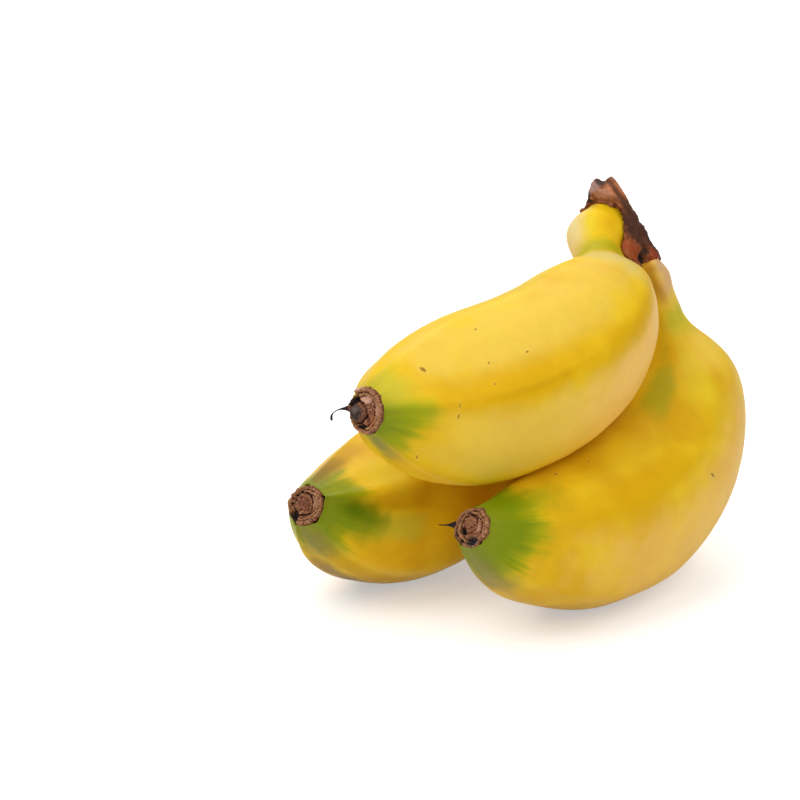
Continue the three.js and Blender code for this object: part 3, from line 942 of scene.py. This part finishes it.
# %% The features of the three scars
SCARS = {
    # size: share of the tip's radius. nub: right, up and size. nub_height: mm. cavities: right,
    # up, width, height, and depth in mm. patches: colour, strength, right, up and half sizes.
    # horn: the turn, in radians, where the rim sticks out. Right, up and the sizes are shares of
    # the rim, seen from outside. seed: which part of the noise it takes.
    "front": {"size": 0.99, "nub": (-0.40, -0.10, 0.44), "nub_height": 2.0,
              "cavities": [(-0.62, 0.46, 0.22, 0.24, 1.5), (-0.22, -0.68, 0.28, 0.11, 1.0),
                           (0.20, -0.40, 0.12, 0.22, 0.5)],
              "patches": [("e0b096", 0.85, 0.08, 0.46, 0.36, 0.17),
                          ("d8b09c", 0.80, -0.45, 0.93, 0.30, 0.14),
                          ("a8683a", 0.70, 0.42, -0.42, 0.22, 0.30),
                          ("cf9c80", 0.70, 0.78, 0.10, 0.14, 0.30),
                          ("5a2418", 0.80, 0.16, -0.22, 0.10, 0.32),
                          ("2f2725", 0.95, -0.40, -0.10, 0.44, 0.44),
                          ("6e5f5a", 0.70, -0.34, 0.02, 0.20, 0.16),
                          # painted shadow in the gap between the nub and the broken rim
                          ("120a08", 0.95, -0.74, 0.30, 0.20, 0.28),
                          # painted shade in the lower cavity
                          ("1a0d09", 0.90, -0.24, -0.70, 0.26, 0.10)],
              "horn": 2.05, "seed": 3.0},
    "right": {"size": 0.97, "nub": (-0.12, 0.22, 0.46), "nub_height": 0.55,
              "cavities": [(0.0, -0.74, 0.34, 0.22, 1.5), (-0.62, -0.62, 0.16, 0.14, 1.3),
                           (-0.50, -0.04, 0.16, 0.18, 0.9)],
              # its first patch is painted shade in the lowest cavity
              "patches": [("2b2a2c", 0.95, 0.0, -0.72, 0.40, 0.26),
                          ("5a5a62", 0.70, 0.04, -0.66, 0.12, 0.10),
                          # painted shade in the cavity on the left
                          ("261a10", 0.85, -0.48, -0.05, 0.24, 0.22),
                          ("9c6a46", 0.60, -0.08, 0.30, 0.26, 0.30),
                          ("c48e74", 0.70, 0.42, -0.10, 0.16, 0.30),
                          ("3a140c", 0.70, -0.80, -0.40, 0.14, 0.40)],
              "horn": 0.9, "seed": 11.0},
    "lower": {"size": 0.91, "nub": (-0.14, 0.06, 0.54), "nub_height": 0.55,
              "cavities": [(-0.62, -0.46, 0.18, 0.36, 1.7), (-0.30, -0.20, 0.14, 0.10, 0.5)],
              # its first patch is painted shade in the cavity on the lower left
              "patches": [("150a07", 0.95, -0.66, -0.46, 0.22, 0.38),
                          ("7c4a36", 0.50, -0.10, 0.10, 0.36, 0.40),
                          ("c99a74", 0.60, 0.60, 0.20, 0.16, 0.50)],
              "horn": 4.4, "seed": 23.0},
}
print("cavities:", {name: len(scar["cavities"]) for name, scar in SCARS.items()})


# %% Which way a scar faces
def scar_axes(finger):
    """The scar's middle and its ways: out of the fruit, right and up, as seen from outside."""
    line, along, _, _ = axes_at(finger, np.array([finger["length"]]))
    out = along[0] / np.linalg.norm(along[0])
    right = np.array([1.0, 0.0, 0.0])
    right -= out * (right @ out)
    right /= np.linalg.norm(right)
    return line[0], out, right, np.cross(out, right)


# %% The height of a scar's face
SCAR_HEIGHT = 1.15  # mm
SCAR_RIM = (0.90, 0.35, 0.09)  # reach, height in mm and width
# Each groove: reach, how far it wanders, depth in mm and width.
SCAR_GROOVES = [(0.80, 0.06, 0.36, 0.026), (0.62, 0.11, 0.40, 0.032)]
NUB_FOOT, NUB_RIPPLE = 0.55, 0.10  # mm
NUB_MOAT = (1.10, 0.55, 0.09)  # reach in nub sizes, depth in mm and width
CRUMBLE_HEIGHT, CORK_GRAIN_HEIGHT = 0.26, 0.11  # mm


def bell(value, width):
    """1 at 0, falling off to both sides."""
    return np.exp(-((value / width) ** 2))


def smooth_ramp(value, start, end):
    """0 at the start, 1 at the end and smooth between. start may be the larger one."""
    t = np.clip((value - start) / (end - start), 0, 1)
    return t * t * (3 - 2 * t)


def scar_heights(scar, reach, turn):
    """Height of the scar's face in mm, at a reach from the middle (0 to 1) and a turn."""
    x, y = reach * np.cos(turn), reach * np.sin(turn)
    seed = scar["seed"]
    spot = np.stack([x, y, np.full_like(x, seed)], -1)
    wander = noise_at(spot, 0.45)
    crumble = noise_at(spot, 0.16, 3, 5.0)
    grain = noise_at(spot, 0.06, 2, 9.0)
    rim_at, rim_height, rim_width = SCAR_RIM
    height = SCAR_HEIGHT + rim_height * bell(reach - rim_at, rim_width)
    for at, wandering, depth, width in SCAR_GROOVES:
        height -= depth * bell(reach - at - wandering * wander, width)
    height += 0.20 * noise_at(np.stack([np.cos(turn), np.sin(turn), reach * 0.5 + seed], -1),
                              0.09, 2) * bell(reach - 0.88, 0.12)
    nx, ny, size = scar["nub"]
    nub_reach = np.hypot(x - nx, y - ny) / size * (1 + 0.14 * wander)
    dome = np.sqrt(np.clip(1 - nub_reach**2, 0, 1))
    inside = smooth_ramp(nub_reach, 1.18, 0.98)
    nub = NUB_FOOT + scar["nub_height"] * dome + NUB_RIPPLE * np.sin(9 * nub_reach + 4 * wander)
    height = height * (1 - inside) + nub * inside
    moat_at, moat_depth, moat_width = NUB_MOAT
    height -= moat_depth * bell(nub_reach - moat_at, moat_width)
    for cx, cy, wide, tall, depth in scar["cavities"]:
        off = ((x - cx) / wide) ** 2 + ((y - cy) / tall) ** 2
        height -= depth * np.exp(-(off**1.5)) * (1 + 0.3 * crumble)
    height += CRUMBLE_HEIGHT * crumble + CORK_GRAIN_HEIGHT * grain
    return height


# %% How hollow a ringed grid is
PLAIN_HOLLOW = 0.12  # what a level place counts as


def even_out(values, times):
    """Averages each value on a ringed grid with its neighbours."""
    for _ in range(times):
        padded = np.vstack([values[:1], values, values[-1:]])
        values = (padded[:-2] + padded[2:] + 2 * values
                  + np.roll(values, 1, 1) + np.roll(values, -1, 1)) / 6
    return values


def add_measure(piece, name, values):
    """Stores one number a point on the mesh, for its material to read."""
    layer = piece.data.attributes.new(name, "FLOAT", "POINT")
    layer.data.foreach_set("value", np.asarray(values, np.float32))


# %% A scar's mesh
SCAR_SIDES = 200
SCAR_WALL_RINGS = 14
SCAR_FACE_RINGS = 64
SCAR_FOOT = 0.5  # mm that the wall goes down inside the finger's lip
HORN_REACH, HORN_WIDTH, HORN_HEIGHT = 0.05, 0.16, 0.45  # share of the rim, radians and mm
SCAR_EVENING = 26  # how often heights are averaged to find what is hollow
SCAR_HOLLOW_DEPTH = 0.24  # mm


def make_scar(name, finger, scar, material):
    """The cork of one blossom end: a wall round it, then the face from the rim inwards."""
    middle, out, right, up = scar_axes(finger)
    turns = np.arange(SCAR_SIDES) * 2 * math.pi / SCAR_SIDES
    rim = finger["tip"]
    circle = np.stack([np.cos(turns), np.sin(turns), np.full_like(turns, scar["seed"])], -1)
    ragged = 1 + 0.035 * noise_at(circle, 0.5) + 0.045 * noise_at(circle, 0.12, 2)
    horn = bell((turns - scar["horn"] + math.pi) % (2 * math.pi) - math.pi, HORN_WIDTH)
    edge = rim * (scar["size"] + HORN_REACH * horn) * ragged
    walls = np.linspace(0, 1, SCAR_WALL_RINGS, endpoint=False)
    reaches = np.linspace(1, 0.012, SCAR_FACE_RINGS)
    reach, turn = np.meshgrid(reaches, turns, indexing="ij")
    face = scar_heights(scar, reach, turn) * smooth_ramp(reach, 1.06, 0.93)
    face += HORN_HEIGHT * horn[None, :] * bell(reach - 0.95, 0.1)
    wall_height = -SCAR_FOOT + (face[0][None, :] + SCAR_FOOT) * walls[:, None]
    bulge = 0.90 + 0.10 * np.sin(walls[:, None] * math.pi / 2)
    cracks = 0.05 * noise_at(circle, 0.07, 2)[None, :]
    wall_reach = bulge + cracks * walls[:, None]
    heights = np.vstack([wall_height, face])
    reaches_all = np.vstack([wall_reach, reach]) * edge[None, :]
    turns_all = np.broadcast_to(turns, heights.shape)
    rings = (middle + heights[..., None] * out
             + (reaches_all * np.cos(turns_all))[..., None] * right
             + (reaches_all * np.sin(turns_all))[..., None] * up)
    # How sunk each point is; it sets where the cork is darkened with painted shade.
    sunk = even_out(heights, SCAR_EVENING) - heights
    hollow = np.clip(sunk / SCAR_HOLLOW_DEPTH + PLAIN_HOLLOW, 0, 1)
    hollow[:SCAR_WALL_RINGS] *= 0.4
    hollow[SCAR_WALL_RINGS:] *= smooth_ramp(reach, 1.02, 0.90) * 0.6 + 0.4
    marks = np.concatenate([walls * 0, 1 - reaches])
    piece = ringed_piece(name, rings, material, middle - SCAR_FOOT * out,
                         middle + heights[-1].mean() * out, marks)
    add_measure(piece, "hollow", np.concatenate([hollow.ravel(), [0.0, hollow[-1].mean()]]))
    return piece


# %% Cork
CORK_SHADES = ("7c4628", "c8946a", "1b0a06", "6a2a14")  # brown, worn, dark, red; the dark is painted shade in the hollows
RING_SHADES = ("bf8a5c", "541c0e")  # the ring and its dashes
RING_STRENGTH, DASH_STRENGTH = 0.45, 0.75
CORK_GRAIN = 0.6  # mm
CORK_GLOSS, CORK_BUMP_STRENGTH, CORK_BUMP_HEIGHT = 0.35, 0.8, 0.2 * MM
PATCH_LIFT, PATCH_DEPTH = 1.2, 4  # mm above the tip, and mm through the cork


def cork_finish(name, finger, scar):
    """The cork of one blossom end: a tan ring with dark dashes, patches of its own, and painted shade
    in its hollows and cavities.
    """
    material, tree = new_material(name)
    where = object_place_mm(tree)
    hollow = place(tree, "ShaderNodeAttribute", attribute_name="hollow").outputs["Fac"]
    brown, worn, dark, red = map(paint, CORK_SHADES)
    fibre = use_group(tree, dry_fibre, {"Place": where, "Hollow": hollow,
                                        "Grain Size": CORK_GRAIN,
                                        "Brown": brown, "Worn": worn, "Dark": dark, "Red": red})
    turn, inwards = address(tree)
    turn = calc(tree, "MULTIPLY", turn, 2 * math.pi)
    lengthwise = place(tree, "ShaderNodeCombineXYZ", {
        0: calc(tree, "COSINE", turn), 1: calc(tree, "SINE", turn),
        2: calc(tree, "MULTIPLY", inwards, 0.5)}).outputs[0]
    ring = calc(tree, "MULTIPLY", fade(tree, inwards, 0.0, 0.08), fade(tree, inwards, 0.42, 0.30))
    dashes = calc(tree, "MULTIPLY", fade(tree, cloud(tree, lengthwise, 0.07, 2.0), 0.52, 0.62),
                  fade(tree, inwards, 0.30, 0.16))
    tan, dash = map(paint, RING_SHADES)
    colour = mix(tree, calc(tree, "MULTIPLY", ring, RING_STRENGTH), fibre["Color"], tan)
    colour = mix(tree, calc(tree, "MULTIPLY", dashes, DASH_STRENGTH), colour, dash)
    # Painted shade: the hollows are darkened once more.
    colour = mix(tree, fade(tree, hollow, 0.35, 0.8), colour, dark)
    middle, out, right, up = scar_axes(finger)
    rim = finger["tip"] * scar["size"]
    for code, strength, x, y, wide, tall in scar["patches"]:
        centre = middle + out * PATCH_LIFT + (right * x + up * y) * rim
        spot = use_group(tree, placed_spot, {
            "Place": where, "Centre": tuple(centre), "Long Way": tuple(right / wide / rim),
            "Short Way": tuple(up / tall / rim), "Through": tuple(out / PATCH_DEPTH)})
        colour = mix(tree, calc(tree, "MULTIPLY", spot["Spot"], strength), colour, paint(code))
    bump = place(tree, "ShaderNodeBump", {"Strength": CORK_BUMP_STRENGTH,
                                          "Distance": CORK_BUMP_HEIGHT,
                                          "Height": fibre["Height"]})
    shader = place(tree, "ShaderNodeBsdfPrincipled",
                   {"Base Color": colour, "Roughness": fibre["Roughness"],
                    "Specular IOR Level": CORK_GLOSS, "Normal": bump.outputs[0]})
    place(tree, "ShaderNodeOutputMaterial", {"Surface": shader.outputs[0]})
    return material


# %% The three blossom ends
for name, scar in SCARS.items():
    cork = cork_finish(f"{name}_cork", FINGERS[name], scar)
    piece = make_scar(f"{name}_blossom_scar", FINGERS[name], scar, cork)
    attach(piece, "root")
    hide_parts(f"{name}_blossom_end")

# %% [markdown]
# ## Dried threads
# The flower's style dries to a black thread beside the scar. One is hooked and thickens again at
# its end, and one is a short spike with a broad root. A curve with a round bevel would be quicker
# to make but too even, so each is a tube of changing thickness, a little flat and twisted.

# %% The shapes of the two threads
THREADS = {
    # steps: places from the root, in mm. radii: at even distances, in mm. lift: mm that the root
    # stands higher.
    "front": {"steps": [(0.9, 0.3, 0.0), (-0.2, -0.1, 0.05), (-1.2, -0.35, -0.05),
                        (-2.1, -0.5, -0.45), (-2.65, -0.6, -1.1), (-2.75, -0.65, -1.9),
                        (-2.6, -0.7, -2.3)],
              "radii": [0.75, 0.45, 0.24, 0.16, 0.17, 0.34, 0.36, 0.08], "lift": 0.0},
    "right": {"steps": [(1.0, 0.4, -0.2), (0.1, 0.0, -0.05), (-0.8, -0.25, 0.0),
                        (-1.6, -0.4, 0.05), (-2.4, -0.5, 0.2)],
              "radii": [0.8, 0.55, 0.3, 0.17, 0.13, 0.05], "lift": 1.6},
}
print("threads:", list(THREADS))

# %% A thread's mesh
THREAD_SIDES = 24
THREAD_RINGS = 160
ROOT_OUT, ROOT_BESIDE = 1.32, 0.65  # mm beyond the tip's end, and beside its rim
THREAD_FLATNESS = 0.65
THREAD_TWIST = 2.5  # radians


def make_thread(name, finger, thread, material):
    """A dried thread that starts beside the rim of a tip."""
    middle, out, right, _ = scar_axes(finger)
    root = (middle + ROOT_OUT * out - right * (finger["tip"] + ROOT_BESIDE)
            + np.array([0, 0, thread["lift"]]))
    points = through_line(np.array(thread["steps"]) + root, THREAD_RINGS)
    along = np.gradient(points, axis=0)
    along /= np.linalg.norm(along, axis=1)[:, None]
    sideways = np.cross(along, np.array([0.0, -1.0, 0.0]))
    sideways /= np.linalg.norm(sideways, axis=1)[:, None]
    upright = np.cross(sideways, along)
    share = np.linspace(0, 1, len(points))
    radius = np.interp(share, np.linspace(0, 1, len(thread["radii"])), thread["radii"])
    turns = np.arange(THREAD_SIDES) * 2 * math.pi / THREAD_SIDES
    s, t = np.meshgrid(share, turns, indexing="ij")
    bumps = 1 + 0.16 * noise_at(np.stack([np.cos(t), np.sin(t), s * 9], -1), 0.8, 2)
    twist = THREAD_TWIST * s
    wide = radius[:, None] * bumps * np.cos(t)
    thin = radius[:, None] * bumps * np.sin(t) * THREAD_FLATNESS
    rings = (points[:, None] + (wide * np.cos(twist) - thin * np.sin(twist))[..., None]
             * sideways[:, None] + (wide * np.sin(twist) + thin * np.cos(twist))[..., None]
             * upright[:, None])
    piece = ringed_piece(name, rings[:, ::-1], material, points[0], points[-1])
    hollow = np.clip(0.45 + 1.6 * s - 0.25 * bumps, 0, 1)
    add_measure(piece, "hollow", np.concatenate([hollow.ravel(), [0.2, 1.0]]))
    return piece


# %% The two threads
THREAD_SHADES = ("3b2620", "6b4b3c", "140c0a", "2c1a16")  # brown, worn, dark, red
THREAD_GRAIN, THREAD_BUMP = 0.4, 0.08  # mm
thread_finish = dry_finish("dried_thread", THREAD_SHADES, THREAD_GRAIN, THREAD_BUMP)
for name, thread in THREADS.items():
    piece = make_thread(f"{name}_thread", FINGERS[name], thread, thread_finish)
    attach(piece, "root")
    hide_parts(f"{name}_style")

# %% [markdown]
# ## Crown
# The crown is the piece of stem the fingers grew from. It was torn off its bunch, so its outside
# is wrinkled skin with long fibres, folded over where it tore. On two of the stalks it ends in a
# short sleeve, and the right one is bare. It could be sculpted by hand like modelling clay, but
# nobody could repeat that. Here the body of the crown, a few folds and lumps, and the sleeves are
# laid into each other and melted into one skin by a voxel remesh. Then fibres and wrinkles are
# pressed in along the way the stem grew.

# %% The crown's folds and lumps
# Each fold: places in mm, and the radius at even distances along it.
FOLDS = [
    # the lip that folded over above the front stalk
    ([(14.9, 28.6, 77.0), (16.8, 26.6, 77.8), (18.9, 25.4, 77.4), (21.2, 24.4, 76.0),
      (22.6, 23.6, 74.0), (23.6, 21.8, 71.6)], [0.9, 0.75, 0.8, 0.75, 0.7, 0.5]),
    # the smooth swelling at the top
    ([(17.9, 31.4, 78.0), (19.3, 31.0, 78.1), (20.6, 30.2, 77.5), (21.7, 29.2, 76.3),
      (22.3, 28.0, 74.6)], [1.5, 2.0, 2.1, 2.0, 1.6]),
    # the edge of the torn face
    ([(22.1, 27.0, 74.4), (23.5, 25.5, 72.2), (24.9, 24.0, 70.0), (26.3, 22.5, 67.8)],
     [1.6, 1.9, 1.9, 1.5]),
    # the torn tip
    ([(15.2, 29.8, 77.9), (16.3, 30.6, 78.7), (17.8, 31.3, 78.7)], [0.8, 1.3, 0.9]),
    ([(14.9, 28.6, 75.8), (15.0, 29.2, 76.4)], [0.6, 0.8]),
    # the flap between the stalks
    ([(22.6, 20.2, 70.0), (22.4, 18.4, 67.0), (23.6, 18.2, 64.6), (25.6, 18.6, 63.0)],
     [1.0, 1.8, 1.7, 1.0]),
    # the knot above the right stalk
    ([(25.8, 20.4, 67.6), (27.3, 20.4, 66.4), (28.4, 21.2, 64.9)], [1.2, 1.8, 1.5]),
]
print("folds and lumps:", len(FOLDS))


# %% Tubes of skin
def closed_tube(points, radii, sides=20, rings=24):
    """A tube of changing thickness with pointed ends, as places and faces."""
    line = through_line(points, rings) if len(points) > 2 else np.linspace(*points, rings)
    line = np.array(line, float)
    share = np.linspace(0, 1, len(line))
    radius = np.interp(share, np.linspace(0, 1, len(radii)), radii)
    radius = radius * np.sqrt(np.clip(1 - (2 * share - 1) ** 8, 0.02, 1))
    along = np.gradient(line, axis=0)
    along /= np.linalg.norm(along, axis=1)[:, None]
    side = np.cross(along, np.array([0.3, 0.9, 0.2]))
    side /= np.linalg.norm(side, axis=1)[:, None]
    other = np.cross(along, side)
    turns = np.arange(sides) * 2 * math.pi / sides
    places = line[:, None] + radius[:, None, None] * (
        np.cos(turns)[None, :, None] * side[:, None] + np.sin(turns)[None, :, None] * other[:, None])
    reach_back, reach_on = line[0] - along[0] * radius[0], line[-1] + along[-1] * radius[-1]
    faces = [(i * sides + j, i * sides + (j + 1) % sides, (i + 1) * sides + (j + 1) % sides,
              (i + 1) * sides + j) for i in range(len(line) - 1) for j in range(sides)]
    first, last = len(line) * sides, len(line) * sides + 1
    faces += [((j + 1) % sides, j, first) for j in range(sides)]
    base = (len(line) - 1) * sides
    faces += [(base + j, base + (j + 1) % sides, last) for j in range(sides)]
    return np.vstack([places.reshape(-1, 3), reach_back, reach_on]), faces


# %% Sleeves of skin
# Each sleeve: how far it reaches down the stalk away from and towards a direction, in mm.
SLEEVES = {
    "front": (-1.1, 0.7, (0.5, -0.1, 0.8)),
    "lower": (0.6, 1.8, (0.0, 0.3, 1.0)),
}
SLEEVE_RAGGED = 0.45  # mm


def sleeve(finger, low_reach, high_reach, direction, sides=120):
    """A ragged collar of skin round the start of a stalk, closed all round."""
    angles = np.arange(sides) * 2 * math.pi / sides
    zero = np.zeros(sides)
    skin = finger_places(finger, zero, angles)
    line = axes_at(finger, zero)[0]
    outwards = (skin - line) / np.linalg.norm(skin - line, axis=1)[:, None]
    direction = np.array(direction) / np.linalg.norm(direction)
    share = smooth_ramp(outwards @ direction, -0.4, 0.9)
    reach = low_reach + (high_reach - low_reach) * share
    reach = reach + SLEEVE_RAGGED * noise_at(outwards * 3, 1.0, 2, 4.0)
    back = np.minimum(reach - 1.2, -1.5)
    # Each row round it: the place along the stalk and how far off its skin, in mm.
    rows = [(back, -0.6), (back, 0.7), (reach - 1.0, 0.8), (reach - 0.3, 0.7), (reach, 0.5),
            (reach, 0.1), (reach - 0.6, -0.5)]
    rings = np.array([finger_places(finger, at, angles, lift) for at, lift in rows])
    count = len(rows)
    faces = [(i * sides + j, ((i + 1) % count) * sides + j,
              ((i + 1) % count) * sides + (j + 1) % sides, i * sides + (j + 1) % sides)
             for i in range(count) for j in range(sides)]
    return rings.reshape(-1, 3), faces


# %% Gathering
def gather(name, parts):
    """One mesh object from several lots of places in mm and faces."""
    places, faces = [], []
    for more_places, more_faces in parts:
        start = sum(len(p) for p in places)
        faces += [tuple(start + i for i in face) for face in more_faces]
        places.append(np.asarray(more_places, float))
    mesh = bpy.data.meshes.new(name)
    mesh.from_pydata((np.vstack(places) * MM).tolist(), [], faces)
    made = bpy.data.objects.new(name, mesh)
    bpy.context.scene.collection.objects.link(made)
    return made


# %% The crown melted into one skin
CROWN_VOXEL = 0.3  # mm
# What is cut away again: a room round the bare right stalk, and a bite beside the torn tip.
ROOM_RADIUS = 6.0  # mm
ROOM_BACK, ROOM_DOWN = 2.3, 4  # mm from the start of the stalk, into the crown and down the stalk
BITE_ENDS = [(10.6, 20.0, 78.8), (12.0, 42.0, 72.5)]  # mm
BITE_RADIUS = 3.2  # mm
CUTTER_SIDES = 40

cad_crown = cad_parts["crown"].data
body = (np.array([v.co for v in cad_crown.vertices]) / MM,
        [tuple(p.vertices) for p in cad_crown.polygons])
parts = [body] + [closed_tube(points, radii) for points, radii in FOLDS]
parts += [sleeve(FINGERS[name], *reaches) for name, reaches in SLEEVES.items()]
rough_crown = gather("rough_crown", parts)
right_start, right_along = (rows[0] for rows in axes_at(FINGERS["right"], np.array([0.0]))[:2])
bare = gather("bare_stalk", [
    closed_tube([right_start - ROOM_BACK * right_along, right_start + ROOM_DOWN * right_along],
                [ROOM_RADIUS, ROOM_RADIUS], CUTTER_SIDES),
    closed_tube(BITE_ENDS, [BITE_RADIUS, BITE_RADIUS], CUTTER_SIDES),
])
for kind, settings in (
    ("REMESH", {"mode": "VOXEL", "voxel_size": CROWN_VOXEL * MM}),
    ("BOOLEAN", {"operation": "DIFFERENCE", "object": bare, "solver": "EXACT"}),
    ("REMESH", {"mode": "VOXEL", "voxel_size": CROWN_VOXEL * MM}),
):
    step = rough_crown.modifiers.new(kind.lower(), kind)
    for label, value in settings.items():
        setattr(step, label, value)
ready = rough_crown.evaluated_get(bpy.context.evaluated_depsgraph_get())
crown_mesh = bpy.data.meshes.new_from_object(ready)
crown_mesh.name = "crown"
for helper in (rough_crown, bare):
    bpy.data.objects.remove(helper)
print("crown skin has", len(crown_mesh.polygons), "faces")

# %% The crown's points and edges
edges = np.array([tuple(e.vertices) for e in crown_mesh.edges])
places = np.array([v.co for v in crown_mesh.vertices]) / MM
neighbours = np.bincount(edges.ravel(), minlength=len(places))


def relax(values, times):
    """Averages each point's value with its neighbours on the crown."""
    for _ in range(times):
        total = np.zeros_like(values)
        np.add.at(total, edges[:, 0], values[edges[:, 1]])
        np.add.at(total, edges[:, 1], values[edges[:, 0]])
        count = neighbours.reshape(-1, *([1] * (values.ndim - 1)))
        values = (values + total / count) / 2
    return values


def outwards_of(mesh):
    """Which way each point of a mesh faces."""
    normals = np.empty(len(mesh.vertices) * 3, np.float32)
    mesh.vertices.foreach_get("normal", normals)
    return normals.reshape(-1, 3).astype(float)


# %% Wrinkles and fibres
STEM_WAY = np.array([0.54, -0.52, -0.67])  # the way the fibres run
OUTER_WAY = np.array([0.83, 0.19, 0.52])  # out of the torn face
FIBRE_HEIGHT, FINE_FIBRE_HEIGHT = 0.20, 0.07  # mm
WRINKLE_HEIGHT, CRUMB_HEIGHT = 0.30, 0.05  # mm
DRAWN_IN = 0.35  # mm, because the folds and fibres stand out
# The torn face is pared nearly flat: the way it faces, its place in mm, and how much of what
# stands beyond it goes.
PARED_WAY, PARED_AT = np.array([0.857, 0.176, 0.484]), 61.25
PARED_SHARE = 0.92
CROWN_EVENING = 14  # how often places are averaged to find what is hollow
CROWN_HOLLOW_DEPTH = 0.5  # mm

places = relax(places, 5)
crown_mesh.vertices.foreach_set("co", (places * MM).astype(np.float32).ravel())
crown_mesh.update()
outwards = outwards_of(crown_mesh)
stem = STEM_WAY / np.linalg.norm(STEM_WAY)
across = np.cross(OUTER_WAY, stem)
across /= np.linalg.norm(across)
grown = np.stack([places @ stem, places @ across, places @ np.cross(stem, across)], -1)
bend = noise_at(grown, 6.0) * 1.5
fibres = 1 - 2.4 * np.abs(noise_at(grown + bend[:, None], (9.0, 1.5, 1.5), 2))
threads = 1 - 2.2 * np.abs(noise_at(grown + bend[:, None], (5.0, 0.55, 0.55), 1, 3.0))
wrinkles = noise_at(grown, 2.6, 3, 8.0)
crumbs = noise_at(grown, 0.7, 2, 1.0)
press = (FIBRE_HEIGHT * fibres + FINE_FIBRE_HEIGHT * threads + WRINKLE_HEIGHT * wrinkles
         + CRUMB_HEIGHT * crumbs)
final_places = places + outwards * (press - DRAWN_IN)[:, None]
beyond = np.maximum(final_places @ PARED_WAY - PARED_AT, 0)
final_places -= PARED_WAY * (beyond * PARED_SHARE)[:, None]
crown_mesh.vertices.foreach_set("co", (final_places * MM).astype(np.float32).ravel())
crown_mesh.update()
# How sunk each point is; it sets where the crown is darkened with painted shade.
sunk = ((relax(final_places, CROWN_EVENING) - final_places) * outwards).sum(1)
crown_hollow = np.clip(PLAIN_HOLLOW + sunk / CROWN_HOLLOW_DEPTH, 0, 1)
print("hollow share of the crown:", round(float((crown_hollow > 0.5).mean()), 2))

# %% The crown's finish
# Each patch: colour, strength, middle in mm, half lengths along the stem, across and through.
TORN_FACE = (24.05, 27.86, 71.8)
CROWN_PATCHES = [
    ("c2784a", 0.85, (20.3, 27.2, 77.8), (3.6, 2.6, 2.2)),  # smooth tan skin
    ("a8857e", 0.75, (15.4, 29.0, 78.3), (1.9, 2.4, 2.0)),  # grey, worn tip
    ("2a2422", 0.90, (16.8, 29.2, 80.0), (1.9, 2.0, 1.3)),  # black spot on top
    ("b98562", 0.70, (17.6, 26.2, 77.8), (2.8, 1.1, 1.6)),  # pale fold
    ("9c6040", 0.60, (19.0, 25.3, 75.2), (5.5, 1.8, 1.6)),  # band over the front stalk
    ("170d0c", 0.90, (14.2, 28.2, 76.0), (1.5, 1.1, 1.6)),  # painted shade in the crevice by the stalk
    ("34180c", 0.85, (24.0, 21.0, 71.2), (5.8, 1.5, 1.9)),  # painted shade in the valley between the stalks
    ("9c4418", 0.85, (22.7, 18.6, 67.4), (3.0, 1.8, 2.2)),  # red-brown flap
    ("20120e", 0.80, (25.4, 18.9, 66.6), (4.0, 0.6, 1.8)),  # a dark line beside the flap: painted shade in the crease
    ("963a20", 0.70, (28.2, 20.0, 66.2), (2.0, 1.6, 1.8)),  # reddish knot
    ("1c1414", 0.85, (28.0, 21.4, 68.8), (3.0, 1.2, 1.6)),  # its black edge
    ("361a0e", 0.75, TORN_FACE, (14.0, 14.0, 1.0)),  # the torn face: dark brown, darkened further with painted shade on the side away from the light
    ("6f5a50", 0.60, (24.6, 18.8, 63.6), (1.2, 1.0, 1.2)),  # grey speck
]
CROWN_SHADES = ("70401f", "ab6c3e", "140804", "74300f")  # brown, worn, dark, red; the dark is painted shade in the hollows
CROWN_GRAIN, CROWN_BUMP = 1.0, 0.2  # mm
GRAIN_SHARES = (0.22, 1.0, 1.0)  # along the stem, across and through: less draws the grain out

stem_ways = (stem, across, np.cross(stem, across))
patches = [(code, strength, middle, [tuple(way / reach) for way, reach in zip(stem_ways, reaches)])
           for code, strength, middle, reaches in CROWN_PATCHES]
fibre_ways = [tuple(way * share) for way, share in zip(stem_ways, GRAIN_SHARES)]
crown_finish = dry_finish("dry_crown", CROWN_SHADES, CROWN_GRAIN, CROWN_BUMP, patches, fibre_ways)
print("patches on the crown:", len(patches))

# %% The crown in the hand
crown_mesh.materials.clear()
crown_mesh.materials.append(crown_finish)
crown_mesh.shade_smooth()
crown = bpy.data.objects.new("crown_skin", crown_mesh)
bpy.context.scene.collection.objects.link(crown)
add_measure(crown, "hollow", crown_hollow)
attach(crown, "root")
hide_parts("crown")
